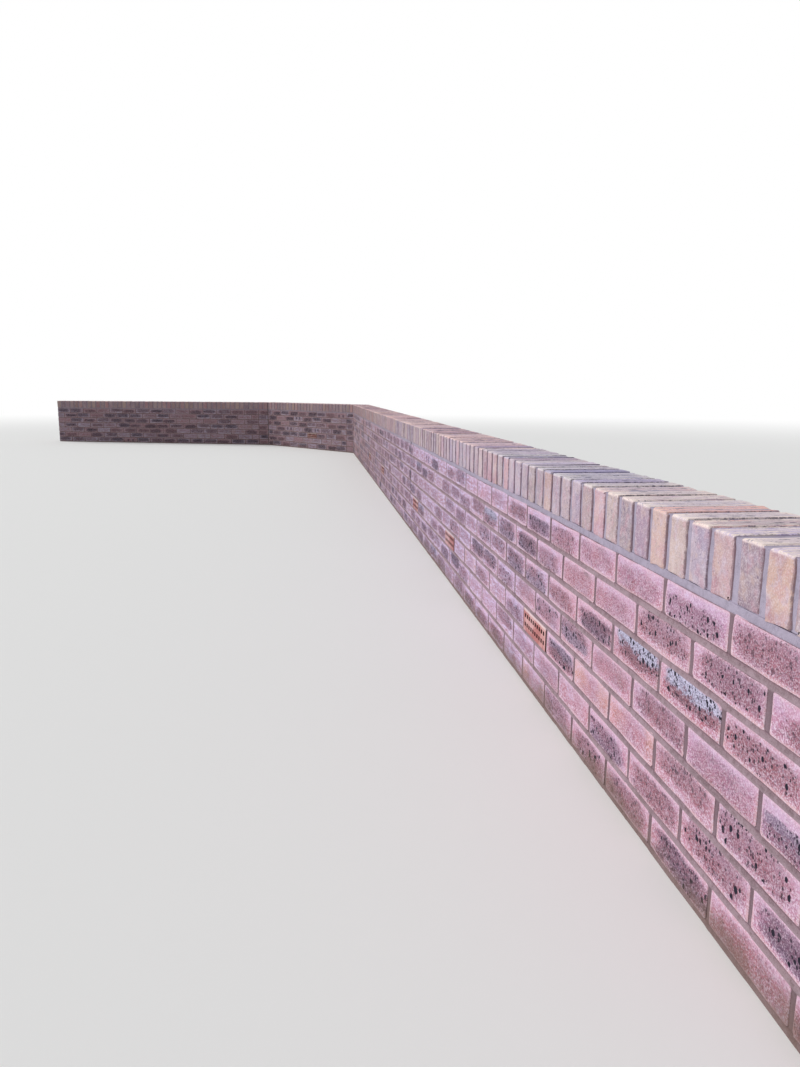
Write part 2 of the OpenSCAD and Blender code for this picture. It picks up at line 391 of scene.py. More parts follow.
@dataclass(frozen=True)
class BrickShell:
    """Closed, worn block that every brick is made from.

    Its face is a grid in the length and height. Rings of the face's outline follow it
    round the arris and back into the wall, each with an inset from the brick's true
    edge and a depth. The corners of each ring are drawn in, and noise of each brick's
    own moves the outline and the face.
    """

    insets: tuple[float, ...]
    long_breaks: tuple[float, ...] = (-1.0, -0.955, -0.5, 0.0, 0.5, 0.955, 1.0)
    high_breaks: tuple[float, ...] = (-1.0, -0.85, 0.0, 0.85, 1.0)
    corner: float = 0.0009
    wobble: float = 0.0007
    uneven: float = 0.0005
    # Most of a short block that an inset may take, and of the spread that noise may reach
    most_inset: float = 0.4
    most_noise: float = 2.2

    def topology(self) -> tuple[np.ndarray, np.ndarray, np.ndarray, np.ndarray, np.ndarray]:
        """Faces of one block, and what each of its points is.

        Returns:
            Four-cornered faces, the closing face, and for each point its ring, its
            place in the outline (-1 inside the face) and its pair of breaks.
        """
        columns, rows, rings_count = len(self.long_breaks), len(self.high_breaks), len(self.insets)
        grid = np.arange(columns * rows).reshape(columns, rows)
        rim = np.concatenate([grid[:-1, 0], grid[-1, :-1], grid[:0:-1, -1], grid[0, :0:-1]])
        turns = len(rim)
        extra = grid.size + np.arange((rings_count - 1) * turns).reshape(-1, turns)
        rings = np.concatenate([rim[None], extra])
        quads = np.concatenate([grid_faces(grid), grid_faces(rings, closed=True)])
        breaks = np.meshgrid(self.long_breaks, self.high_breaks, indexing="ij")
        pairs = np.stack(breaks, -1).reshape(-1, 2)
        pairs = np.concatenate([pairs, np.tile(pairs[rim], (rings_count - 1, 1))])
        ring_of = np.repeat(np.arange(rings_count), [grid.size] + [turns] * (rings_count - 1))
        place_of = np.full(len(pairs), -1)
        place_of[rings.ravel()] = np.tile(np.arange(turns), rings_count)
        return quads, rings[-1][None], ring_of, place_of, pairs

    def build(
        self, low: np.ndarray, high: np.ndarray, half_height: float, depths: np.ndarray,
        random: np.random.Generator,
    ) -> tuple[np.ndarray, list[np.ndarray]]:
        """Points and faces of many blocks at once.

        The length runs from low to high at each ring, so a mitred end slants. Then
        length = low + inset + (high - low - 2 inset) (break + 1) / 2, and height is
        break * (half height - inset). A block's rings share one noise, and each adds
        half as much of its own. A corner is drawn in by once to four times its size,
        as the fifth power of a random value, so only a few are knocked off.

        Args:
            low, high: Ends of each block at each ring, blocks by rings.
            half_height: Half of a block's height.
            depths: Depth of each ring, blocks by rings.
            random: Source of the noise.

        Returns:
            Points as length, height and depth, blocks by points by three, and faces.
        """
        quads, back, ring_of, place_of, pairs = self.topology()
        count, turns = len(low), place_of.max() + 1
        inset = np.minimum(np.array(self.insets)[ring_of], self.most_inset * (high - low)[:, ring_of])
        span = (high - low)[:, ring_of] - 2 * inset
        length = low[:, ring_of] + inset + span * (pairs[:, 0] + 1) / 2
        height = pairs[:, 1] * (half_height - inset)
        depth = depths[:, ring_of].copy()
        drift = random.normal(size=(count, 1, turns, 2))
        drift = drift + 0.5 * random.normal(size=(count, len(self.insets), turns, 2))
        on_rim = (place_of >= 0)[None, :, None]
        drift = np.clip(drift[:, ring_of, place_of], -self.most_noise, self.most_noise)
        moved = np.where(on_rim, drift, 0.0) * self.wobble
        at_corner = np.abs(pairs).min(axis=1) == 1.0
        knocked = self.corner * (1 + 3 * random.random((count, 4)) ** 5)
        which = (pairs[:, 0] > 0).astype(int) * 2 + (pairs[:, 1] > 0)
        pulled = np.where(at_corner, knocked[:, which], 0.0)
        length = length + moved[..., 0] - np.sign(pairs[:, 0]) * pulled
        height = height + moved[..., 1] - np.sign(pairs[:, 1]) * pulled
        bumps = self.uneven * np.abs(random.normal(size=depth.shape))
        depth += np.where(ring_of <= 1, bumps, 0.0)
        points = np.stack([length, height, depth], axis=-1)
        step = (np.arange(count) * len(pairs))[:, None, None]
        return points, [(quads + step).reshape(-1, 4), (back + step).reshape(-1, back.shape[1])]


STRETCHER = BrickShell(insets=(0.0032, 0.0009, 0.0, 0.0))
ON_EDGE = BrickShell(
    insets=(0.0032, 0.0010, 0.0, 0.0, 0.0, 0.0, 0.0, 0.0010, 0.0032),
    long_breaks=(-1.0, -0.86, 0.0, 0.86, 1.0),
    high_breaks=(-1.0, -0.9, -0.55, -0.15, 0.25, 0.6, 0.92, 1.0),
    corner=0.0014,
    wobble=0.0011,
    uneven=0.0007,
)


def brick_attributes(
    place: np.ndarray, half: tuple[np.ndarray, float, np.ndarray], seeds: np.ndarray, kinds: list[Firing]
) -> dict[str, np.ndarray]:
    """Vectors that the brick finishes read on each point.

    Args:
        place: Points in each brick's own frame, bricks by points by three.
        half: Half sizes of each brick's face, along and up, and 1 where its end is bare.
        seeds: Three random values for each brick.
        kinds: Kind of each brick.

    Returns:
        Values by attribute name.
    """
    count, points = place.shape[:2]
    sizes = np.stack(np.broadcast_arrays(half[0], np.full(count, half[1]), half[2]), axis=1)
    marks = np.array([astuple(kind.value) for kind in kinds])
    per_brick = {"half": sizes, "seed": seeds, "mark": marks[:, :3], "more": marks[:, 3:]}
    spread = {f"brick_{key}": np.repeat(values, points, axis=0) for key, values in per_brick.items()}
    return {"brick_place": place, **spread}


def swept_body(
    bay: Bay, columns: list[tuple[int, float, float]], profiles: np.ndarray
) -> tuple[np.ndarray, list[np.ndarray]]:
    """Closed body of a profile that is carried along a bay and may change as it goes.

    Each column stands at a place along its leg, and slides by its slant for each metre
    of depth. The surface's two parameters are the column and the place in the profile.

    Args:
        bay: The bay.
        columns: Leg, place and slant of each column.
        profiles: Depth and height of each profile point, columns by points by two. The
            points run clockwise, seen along the wall with its lawn face to the left.

    Returns:
        Points and faces.
    """
    table = np.array(columns)
    s = table[:, 1:2] + table[:, 2:3] * profiles[..., 0]
    points = bay.place(table[:, 0].astype(int), s, profiles[..., 0], profiles[..., 1])
    index = np.arange(s.size).reshape(s.shape)
    return points, [grid_faces(index, closed=True), index[:1, ::-1], index[-1:]]


def bay_columns(bay: Bay, spacing: float, inset: float) -> list[tuple[int, float, float]]:
    """Columns along a bay, with one shared at a turn.

    Args:
        bay: The bay.
        spacing: About how far apart the columns stand.
        inset: How far the body stops short of a free end.

    Returns:
        Leg, place and slant of each column.
    """
    columns: list[tuple[int, float, float]] = []
    for number, leg in enumerate(bay.legs):
        free_low, free_high = bay.free_ends(number)
        low, high = inset * free_low, leg.length - inset * free_high
        places = np.linspace(low, high, max(2, round((high - low) / spacing) + 1))
        share = (places - low) / (high - low)
        low_part = np.clip(1 - share * MITRE_PARTS, 0, 1) * leg.low_slant
        high_part = np.clip(1 - (1 - share) * MITRE_PARTS, 0, 1) * leg.high_slant
        rows = [(number, float(s), float(cut)) for s, cut in zip(places, low_part + high_part)]
        columns += rows[min(number, 1):]
    return columns


# Finishes

# The brick and mortar colours below carry much of a lilac cast of blue sky light in shade, painted into them
Settings = dict[str, object]

# Moves each brick's noise apart from the others', by its seed
SEED_SHIFT = (41.0, 37.0, 43.0)
BRICK_GRAINS = 330.0

# Soiling near the ground, also painted shade there
SOIL_AND_SHADE = srgb(112, 92, 78)
# Painted shadow beside the joints that cross the long run
JOINT_SHADOW = srgb(62, 52, 58)
# Cool tint and far-end darkening of the wall: partly weathering, partly painted shade
FADE_AND_SHADE: Colour = (0.83, 0.90, 0.975, 1.0)
BRICK_GRIME_AND_SHADE: Colour = (0.585, 0.605, 0.525, 1.0)
PALE_GRIME_AND_SHADE: Colour = (0.635, 0.56, 0.50, 1.0)


class Wire:
    """Output of a node. Calculating with it adds Math or Vector Math nodes to its layout."""

    def __init__(self, nodes: Nodes, socket: bpy.types.NodeSocket) -> None:
        """Holds the output and its layout."""
        self.nodes, self.socket = nodes, socket

    def __add__(self, other: object) -> Wire:
        """Sum."""
        return self.nodes.math("ADD", self, other)

    def __sub__(self, other: object) -> Wire:
        """Difference."""
        return self.nodes.math("SUBTRACT", self, other)

    def __rsub__(self, other: object) -> Wire:
        """Difference from a plain value."""
        return self.nodes.math("SUBTRACT", other, self)

    def __mul__(self, other: object) -> Wire:
        """Product."""
        return self.nodes.math("MULTIPLY", self, other)

    def __truediv__(self, other: object) -> Wire:
        """Quotient."""
        return self.nodes.math("DIVIDE", self, other)

    def __pow__(self, other: object) -> Wire:
        """Power."""
        return self.nodes.math("POWER", self, other)

    def __abs__(self) -> Wire:
        """Size without its sign."""
        return self.nodes.math("ABSOLUTE", self)

    def parts(self) -> tuple[Wire, ...]:
        """The three parts of a vector."""
        node = self.nodes.add("ShaderNodeSeparateXYZ", Vector=self)
        return tuple(Wire(self.nodes, output) for output in node.outputs)

    def ease(self, low: float, high: float, top: float = 1.0) -> Wire:
        """Smooth step from 0 to the top as the value goes from low to high."""
        node = self.nodes.add(
            "ShaderNodeMapRange", {"interpolation_type": "SMOOTHSTEP"},
            Value=self, From_Min=low, From_Max=high, To_Min=0.0, To_Max=top,
        )
        return Wire(self.nodes, node.outputs[0])

    def noise(self, scale: object, detail: float = 2.0, roughness: float = 0.5) -> Wire:
        """Noise around zero, about half a unit each way, at a number of features a metre."""
        sizes = {"Scale": scale, "Detail": detail, "Roughness": roughness}
        return self.nodes.source("ShaderNodeTexNoise", "Fac", Vector=self, **sizes) - 0.5

    def cells(self, scale: float, share: float, radius: float, bend: Wire) -> Wire:
        """Scattered round spots.

        Args:
            scale: Cells a metre.
            share: Share of the cells that hold a spot.
            radius: Size of a spot in cells.
            bend: Noise that makes the spots uneven.

        Returns:
            A mask that is 1 in the spots.
        """
        cell = self.nodes.add("ShaderNodeTexVoronoi", {"feature": "F1"}, Vector=self, Scale=scale)
        distance, colour = (Wire(self.nodes, cell.outputs[name]) for name in ("Distance", "Color"))
        red, green, _ = colour.parts()
        size = green * (radius * 0.6) + radius * 0.6
        held = size * self.nodes.math("LESS_THAN", red, share)
        return (held - (bend * 0.3 + distance)).ease(-0.02, 0.06)


class Nodes:
    """Short way to lay out shader nodes in one tree."""

    def __init__(self, tree: bpy.types.NodeTree) -> None:
        """Starts with an empty tree."""
        self.tree = tree
        tree.nodes.clear()

    def feed(self, socket: bpy.types.NodeSocket, value: object) -> None:
        """Links a wire to a socket, or sets the socket's own value."""
        if isinstance(value, Wire):
            self.tree.links.new(value.socket, socket)
        else:
            socket.default_value = value

    def add(self, kind: str, settings: Settings | None = None, **sockets: object) -> bpy.types.Node:
        """Adds a node.

        Args:
            kind: Blender's name of the node type.
            settings: Properties of the node.
            sockets: Inputs by name, with spaces written as underscores, each a value or
                a wire to link.

        Returns:
            The node.
        """
        node = self.tree.nodes.new(kind)
        for key, value in (settings or {}).items():
            setattr(node, key, value)
        for key, value in sockets.items():
            name = key.replace("_", " ")
            self.feed(next(s for s in node.inputs if s.name == name and s.enabled), value)
        return node

    def source(self, kind: str, output: str, settings: Settings | None = None, **sockets: object) -> Wire:
        """Named output of a new node."""
        return Wire(self, self.add(kind, settings, **sockets).outputs[output])

    def math(self, operation: str, *values: object, clamp: bool = False) -> Wire:
        """Output of a Math node, or of a Vector Math node where the first value is a vector."""
        is_vector = isinstance(values[0], Wire) and values[0].socket.type == "VECTOR"
        node = self.add("ShaderNodeVectorMath" if is_vector else "ShaderNodeMath", {"operation": operation})
        if clamp:
            node.use_clamp = True
        for socket, value in zip(node.inputs, values):
            self.feed(socket, value)
        return Wire(self, node.outputs[0])

    def times(self, *values: object) -> Wire:
        """Product of its values, kept from 0 to 1."""
        product = values[0]
        for value in values[1:]:
            product = self.math("MULTIPLY", product, value, clamp=True)
        return product

    def larger(self, first: Wire, second: Wire) -> Wire:
        """Larger of two values."""
        return self.math("MAXIMUM", first, second)

    def mix(self, factor: object, low: object, high: object, blend: str = "MIX") -> Wire:
        """Colour that goes from low to high, or to low blended with high, with the factor."""
        node = self.add("ShaderNodeMix", {"data_type": "RGBA", "blend_type": blend})
        for number, value in ((0, factor), (6, low), (7, high)):
            self.feed(node.inputs[number], value)
        return Wire(self, node.outputs[2])

    def object_place(self) -> Wire:
        """Object coordinates."""
        return self.source("ShaderNodeTexCoord", "Object")

    def blend_of(self, value: Wire, colours: tuple[Colour, ...]) -> Wire:
        """Colour that runs through evenly spaced colours as a value goes from 0 to 1."""
        node = self.add("ShaderNodeValToRGB", Fac=value)
        ramp = node.color_ramp
        while len(ramp.elements) < len(colours):
            ramp.elements.new(1.0)
        for number, (element, colour) in enumerate(zip(ramp.elements, colours)):
            element.position = number / (len(colours) - 1)
            element.color = colour
        return Wire(self, node.outputs["Color"])

    def group(self, tree: bpy.types.NodeTree, **sockets: object) -> dict[str, Wire]:
        """Places a shared group with its own values, and gives its outputs by name."""
        node = self.add("ShaderNodeGroup", {"node_tree": tree}, **sockets)
        return {output.name: Wire(self, output) for output in node.outputs}

    def end_group(self, **values: Wire) -> bpy.types.NodeTree:
        """Gives the tree its named outputs, and returns it."""
        for key in values:
            self.tree.interface.new_socket(key, in_out="OUTPUT", socket_type="NodeSocketFloat")
        self.add("NodeGroupOutput", **values)
        return self.tree


def start_group(name: str, **inputs: float | None) -> tuple:
    """Starts a shader group with named sockets.

    Args:
        name: Name of the group.
        inputs: Starting value of each input, with spaces written as underscores, and
            None for a vector.

    Returns:
        The layout and the group's inputs in order.
    """
    tree = bpy.data.node_groups.new(name, "ShaderNodeTree")
    for key, value in inputs.items():
        kind = "NodeSocketVector" if value is None else "NodeSocketFloat"
        socket = tree.interface.new_socket(key.replace("_", " "), in_out="INPUT", socket_type=kind)
        if value is not None:
            socket.default_value = value
    nodes = Nodes(tree)
    start = nodes.add("NodeGroupInput")
    return nodes, *(Wire(nodes, output) for output in start.outputs[: len(inputs)])


class SharedEffects:
    """Shader groups that more than one finish uses, each built once."""

    def __init__(self) -> None:
        """Builds the groups."""
        self.sand = self.build_sand()
        self.kiln = self.build_kiln()
        self.splash = self.build_ground_soil_and_shade()
        self.weather_and_shade = self.build_weather_and_shade()
        self.smear = self.build_joint_shadow()

    @staticmethod
    def build_sand() -> bpy.types.NodeTree:
        """Sand grains fired or laid into a surface.

        Pale grains are where one fine noise is high, dark grains where another is, and
        the height adds the grain to slower dents. Drift is a slow change of tone.

        Returns:
            The group.
        """
        nodes, place, grains = start_group("Sand grains", Place=None, Grains=600.0)
        fine = place.noise(grains, 2.0, 0.65)
        other = (place + (3.1, 7.7, 1.9)).noise(grains, 2.0, 0.65)
        slow = place.noise(grains * 0.12, 3.0, 0.55)
        return nodes.end_group(
            Pale=fine.ease(-0.01, 0.09),
            Dark=other.ease(0.03, 0.12),
            Height=other * 0.5 + (slow * 1.6 + fine),
            Drift=place.noise(grains * 0.03).ease(-0.12, 0.14),
        )

    @staticmethod
    def build_kiln() -> bpy.types.NodeTree:
        """Marks that firing and handling leave on one face of a brick.

        Cover fades out from the middle of the face: its distance is a power of the
        length over its reach plus a power of the height over its reach, with noise
        added. Stipple breaks Cover up into grains. Upper is its upper part, or its
        lower part where Turned is 1. Rim is near the face's edges and Arris on them.
        Spots and Specks are scattered cells, a little taller than wide, and Pair is two
        small squares beside the middle.

        Returns:
            The group.
        """
        nodes, place, half, seed, turned, reach, rim_width = start_group(
            "Kiln marks", Place=None, Half=None, Seed=None, Turned=0.0, Reach=0.93, Rim_Width=0.0085
        )
        u, v, w = place.parts()
        half_u, half_v, _ = half.parts()
        first, second, third = seed.parts()
        own = place + seed * SEED_SHIFT
        coarse = (own * (0.45, 1.0, 1.0)).noise(48.0)
        ragged = own.noise(150.0, 3.0, 0.65)
        grain = own.noise(340.0, 2.0, 0.7)
        on_face = w.ease(0.008, 0.003)

        off_u = (second - 0.5) * 0.035 + u
        off_v = (first - 0.5) * 0.018 + v
        part_u = abs(off_u) / (half_u * reach)
        part_v = abs(off_v) / (half_v * (third * 0.30 + 0.68))
        loose = coarse * 1.7 + (part_u ** 4.0 + part_v ** 4.5)
        cover = (ragged * 1.1 + loose).ease(1.55, -0.25) * on_face

        part_up = off_v / half_v * (turned * -2.0 + 1.0)
        nearest = nodes.math("MINIMUM", half_u - abs(u), half_v - abs(v))
        edge = (ragged * 0.012 + nearest) / rim_width
        worn = (ragged * 0.004 + w).ease(0.0010, 0.0024)
        upright = own * (1.0, 0.75, 1.0)
        beside = abs(abs(u) - (second * 0.016 + 0.030)) / (third * 0.006 + 0.012)
        square = beside ** 3.0 + (abs(off_v) / 0.019) ** 3.0
        return nodes.end_group(
            Cover=cover,
            Stipple=(grain * 3.0 + cover).ease(0.36, 0.66),
            Upper=(ragged * 1.6 + (coarse * 1.4 + part_up)).ease(-0.5, 0.7),
            Rim=edge.ease(1.0, 0.1),
            Arris=nodes.times(worn, w.ease(0.016, 0.006)),
            Spots=upright.cells(98.0, 0.28, 0.42, ragged),
            Specks=upright.cells(190.0, 0.36, 0.46, grain),
            Pair=nodes.times((ragged * 2.4 + square).ease(1.15, 0.75), on_face),
        )

    @staticmethod
    def build_ground_soil_and_shade() -> bpy.types.NodeTree:
        """Earth that rain splashes up from the ground, with painted shade near the ground, thinning out with
        height.
        """
        nodes, place, reach = start_group("Soil splash", Place=None, Reach=0.10)
        raised = place.noise(260.0, 2.0, 0.6) * 0.06 + (place.noise(9.0, 4.0, 0.6) * 0.12 + place.parts()[2])
        return nodes.end_group(Soil=(raised / reach).ease(1.0, 0.0))

    @staticmethod
    def build_weather_and_shade() -> bpy.types.NodeTree:
        """Cool tint and darkening that grow along the wall: partly weathering, and partly
        painted shade over the far end, which is damp and under trees.

        The first output is the cool tint, partly bloom and partly painted shade, that sets
        in first, and the second the darkening that follows, partly staining and partly
        painted shade. Both go with the distance along the near run, in drifts, and the cool
        tint in patches too.

        Returns:
            The group.
        """
        nodes, place = start_group("Weathering and far shade", Place=None)
        drifted = place.noise(1.3, 4.0, 0.6) * 2.4 + place.parts()[1]
        patchy = place.noise(13.0, 3.0, 0.6)
        return nodes.end_group(Fade=(patchy * 3.0 + drifted).ease(-6.0, -3.5), Grime=drifted.ease(-5.2, 2.9))

    @staticmethod
    def build_joint_shadow() -> bpy.types.NodeTree:
        """Painted shadow beside the two joints that cross the long run, ragged like sealant
        dragged over their edges.

        It is near the plane of either joint, ragged at its sides, and fades out low down.

        Returns:
            The group.
        """
        nodes, place = start_group("Sealant smear", Place=None)
        _, along, height = place.parts()
        ragged = place.noise(60.0, 3.0, 0.6)
        near, middle, *_ = WallPlan().centred()
        away = (abs(along - (leg.end()[1] + MOVE_JOINT / 2)) for leg in (near, middle))
        nearest = ragged * 0.014 + nodes.math("MINIMUM", *away)
        kept = (ragged * 0.3 + height).ease(0.14, 0.30)
        return nodes.end_group(Smear=nodes.times(nearest.ease(0.017, 0.008), kept))


class Coats(Nodes):
    """Nodes of a material whose colour is laid on coat by coat."""

    def __init__(self, name: str, base: Colour = (1.0, 1.0, 1.0, 1.0)) -> None:
        """Makes the material and starts from its base colour."""
        self.material = bpy.data.materials.new(name)
        self.material.use_nodes = True
        self.colour: Wire | Colour = base
        super().__init__(self.material.node_tree)

    def brick_values(self) -> tuple[Wire, ...]:
        """The vectors kept on each brick: place, half, seed, mark and more."""
        names = (f"brick_{key}" for key in ("place", "half", "seed", "mark", "more"))
        return tuple(self.source("ShaderNodeAttribute", "Vector", {"attribute_name": name}) for name in names)

    def lay(self, *coats: tuple, blend: str = "MIX") -> None:
        """Lays coats over the colour in order.

        Args:
            coats: For each its colour, and then the masks whose product it shows by.
            blend: How each colour goes over the one below.
        """
        for colour, *masks in coats:
            self.colour = self.mix(self.times(*masks), self.colour, colour, blend)

    def weather_and_shade(self, effects: SharedEffects, grime: Colour, fade: object = 1.0, dirt_and_shade: object = 1.0) -> None:
        """Lays the wall's weathering and painted shade over the colour.

        Args:
            effects: Shared groups.
            grime: What the darkening at the far end multiplies it by, partly staining and partly painted
                shade.
            fade: How much of the cool tint it takes, partly bloom and partly painted shade.
            dirt_and_shade: How much of the darkening it takes, partly staining and partly painted shade.
        """
        weather_and_shade = self.group(effects.weather_and_shade, Place=self.object_place())
        self.lay((FADE_AND_SHADE, weather_and_shade["Fade"], fade), (grime, weather_and_shade["Grime"], dirt_and_shade), blend="MULTIPLY")

    def close(
        self, roughness: object, height: Wire, distance: float, strength: float = 0.8
    ) -> bpy.types.Material:
        """Ends the finish with its bump, shader and output.

        Args:
            roughness: Roughness, a value or a wire.
            height: Height for the bump.
            distance: Height of the bump in metres.
            strength: How much of the bump shows.

        Returns:
            The material.
        """
        bump = self.source("ShaderNodeBump", "Normal", Strength=strength, Distance=distance, Height=height)
        shader = self.source(
            "ShaderNodeBsdfPrincipled", "BSDF",
            Base_Color=self.colour, Roughness=roughness, Specular_IOR_Level=0.25, Normal=bump,
        )
        self.add("ShaderNodeOutputMaterial", Surface=shader)
        return self.material


@dataclass(frozen=True)
class FacingBrickFinish:
    """Sand-faced clay, pink at the rim, with a stippled kiln mark in the middle of its face."""

    name: str = "facing brick"
    body: tuple[Colour, ...] = (
        srgb(178, 106, 122), srgb(186, 128, 160), srgb(188, 118, 134), srgb(190, 140, 176),
    )
    orange: Colour = srgb(214, 148, 132)
    salmon: Colour = srgb(204, 122, 134)
    dusted: Colour = srgb(210, 174, 200)
    rim: Colour = srgb(232, 192, 200)
    bloom: Colour = srgb(236, 214, 246)
    arris: Colour = srgb(232, 198, 192)
    grain: Colour = srgb(240, 220, 238)
    mark: Colour = srgb(136, 87, 92)
    dark_mark: Colour = srgb(70, 54, 78)
    russet: Colour = srgb(196, 118, 118)
    frost: Colour = srgb(200, 199, 226)
    blue_grey: Colour = srgb(110, 98, 126)
    side: Colour = srgb(92, 74, 82)
    navy: Colour = srgb(58, 52, 80)
    black: Colour = srgb(34, 30, 46)

    def material(self, effects: SharedEffects) -> bpy.types.Material:
        """Builds the finish.

        The body colour goes with each brick's seed. Over it come dust, mottling, the
        pale rim, the stippled kiln mark with its frosted part, pale grains outside the
        mark, black specks and spots inside it, the shaded sides, and soiling with painted
        shade at the ground.

        Args:
            effects: Shared groups.

        Returns:
            The material.
        """
        coats = Coats(self.name)
        place, half, seed, mark, more = coats.brick_values()
        own = place + seed * SEED_SHIFT
        tone, strength, third = seed.parts()
        patch, dark, blue = mark.parts()
        spots, orange, pair = more.parts()
        u, v, sunk = place.parts()
        half_u, _, bare_end = half.parts()
        wall = coats.object_place()
        sand = coats.group(effects.sand, Place=own, Grains=BRICK_GRAINS)
        turned = coats.math("GREATER_THAN", third - blue, 0.0)
        kiln = coats.group(effects.kiln, Place=place, Half=half, Seed=seed, Turned=turned)
        # Cool tint and far-end darkening along the wall, partly painted shade
        fade, grime = coats.group(effects.weather_and_shade, Place=wall).values()

        coats.colour = coats.blend_of(tone, self.body)
        blotch = (own.noise(14.0, 3.0, 0.55) * 2.4 + abs(u) / half_u).ease(0.15, 1.0)
        mottle = own.noise(120.0, 3.0, 0.6)
        cloudy = (own * (0.7, 1.2, 1.0)).noise(72.0, 3.0, 0.7)
        pale = coats.larger(cloudy.ease(0.04, 0.12), own.noise(190.0, 2.0, 0.7).ease(0.05, 0.12, 0.8))
        coats.lay(
            (self.orange, blotch, orange),
            (self.dusted, kiln["Upper"], 0.35),
            (self.salmon, sand["Drift"], 0.5),
            (self.dusted, mottle.ease(0.0, 0.16, 0.5)),
            (self.mark, mottle.ease(-0.02, -0.18, 0.4)),
            (self.bloom, pale, fade * 0.6 + 0.3),
            (self.mark, cloudy.ease(-0.06, -0.16, 0.3)),
        )
        streaks = (own * (0.22, 1.3, 1.0)).noise(85.0, 3.0, 0.65)
        low_part = v.ease(0.020, -0.030)
        coats.lay(
            (self.bloom, v.ease(-0.004, 0.030, 0.35)),
            (self.bloom, streaks.ease(0.01, 0.12), fade),
            (self.mark, streaks.ease(-0.03, -0.13), fade, 0.4),
            (self.russet, tone.ease(0.1, 0.9), grime, 0.6),
            (self.rim, kiln["Rim"], low_part * 0.5 + 0.4),
            (self.arris, kiln["Arris"], 0.25),
        )

        broken = kiln["Stipple"] * 0.45 + kiln["Cover"] * 0.55
        cover = coats.times(broken, patch, strength * 0.25 + 0.75)
        bluish = coats.times(blue, fade * -0.7 + 1.0)
        upper = coats.times(kiln["Upper"].ease(0.1, 0.7), kiln["Cover"].ease(0.05, 0.5), bluish)
        frosted = own.noise(BRICK_GRAINS, 2.0, 0.7).ease(-0.22, 0.05)
        shown = coats.times(coats.larger(kiln["Stipple"], upper), patch)
        specks = coats.times(kiln["Specks"], shown, spots * 0.55 + 0.45)
        dots = coats.times(kiln["Spots"], kiln["Cover"].ease(0.25, 0.6), spots.ease(0.15, 0.75))
        soil_and_shade = coats.group(effects.splash, Place=wall, Reach=0.065)["Soil"]
        coats.lay(
            (coats.mix(dark, self.mark, self.dark_mark), cover, 0.85),
            (self.blue_grey, upper, 0.9),
            (self.frost, upper, blue.ease(0.45, 1.0), frosted),
            (self.grain, sand["Pale"], low_part * 0.25 + 0.5, cover * -0.60 + 1.0),
            (self.dark_mark, sand["Dark"], cover * 0.5 + 0.12),
            (self.black, specks),
            (self.black, dots),
            (self.navy, kiln["Pair"], pair, 0.65),
            (self.side, sunk.ease(0.0012, 0.003), sunk.ease(0.008, 0.005, 0.7), 1.0 - bare_end),
            # Soiling with painted shade at the foot of the wall
            (SOIL_AND_SHADE, soil_and_shade, grime * -0.5 + 0.7),
            # Painted shadow beside the joints that cross the long run
            (JOINT_SHADOW, coats.group(effects.smear, Place=wall)["Smear"]),
        )
        # Cool tint and darkening along the wall: partly weathering, partly painted shade
        coats.weather_and_shade(effects, BRICK_GRIME_AND_SHADE)
        return coats.close(0.9, (dots + specks) * -0.9 + sand["Height"], 0.0009)


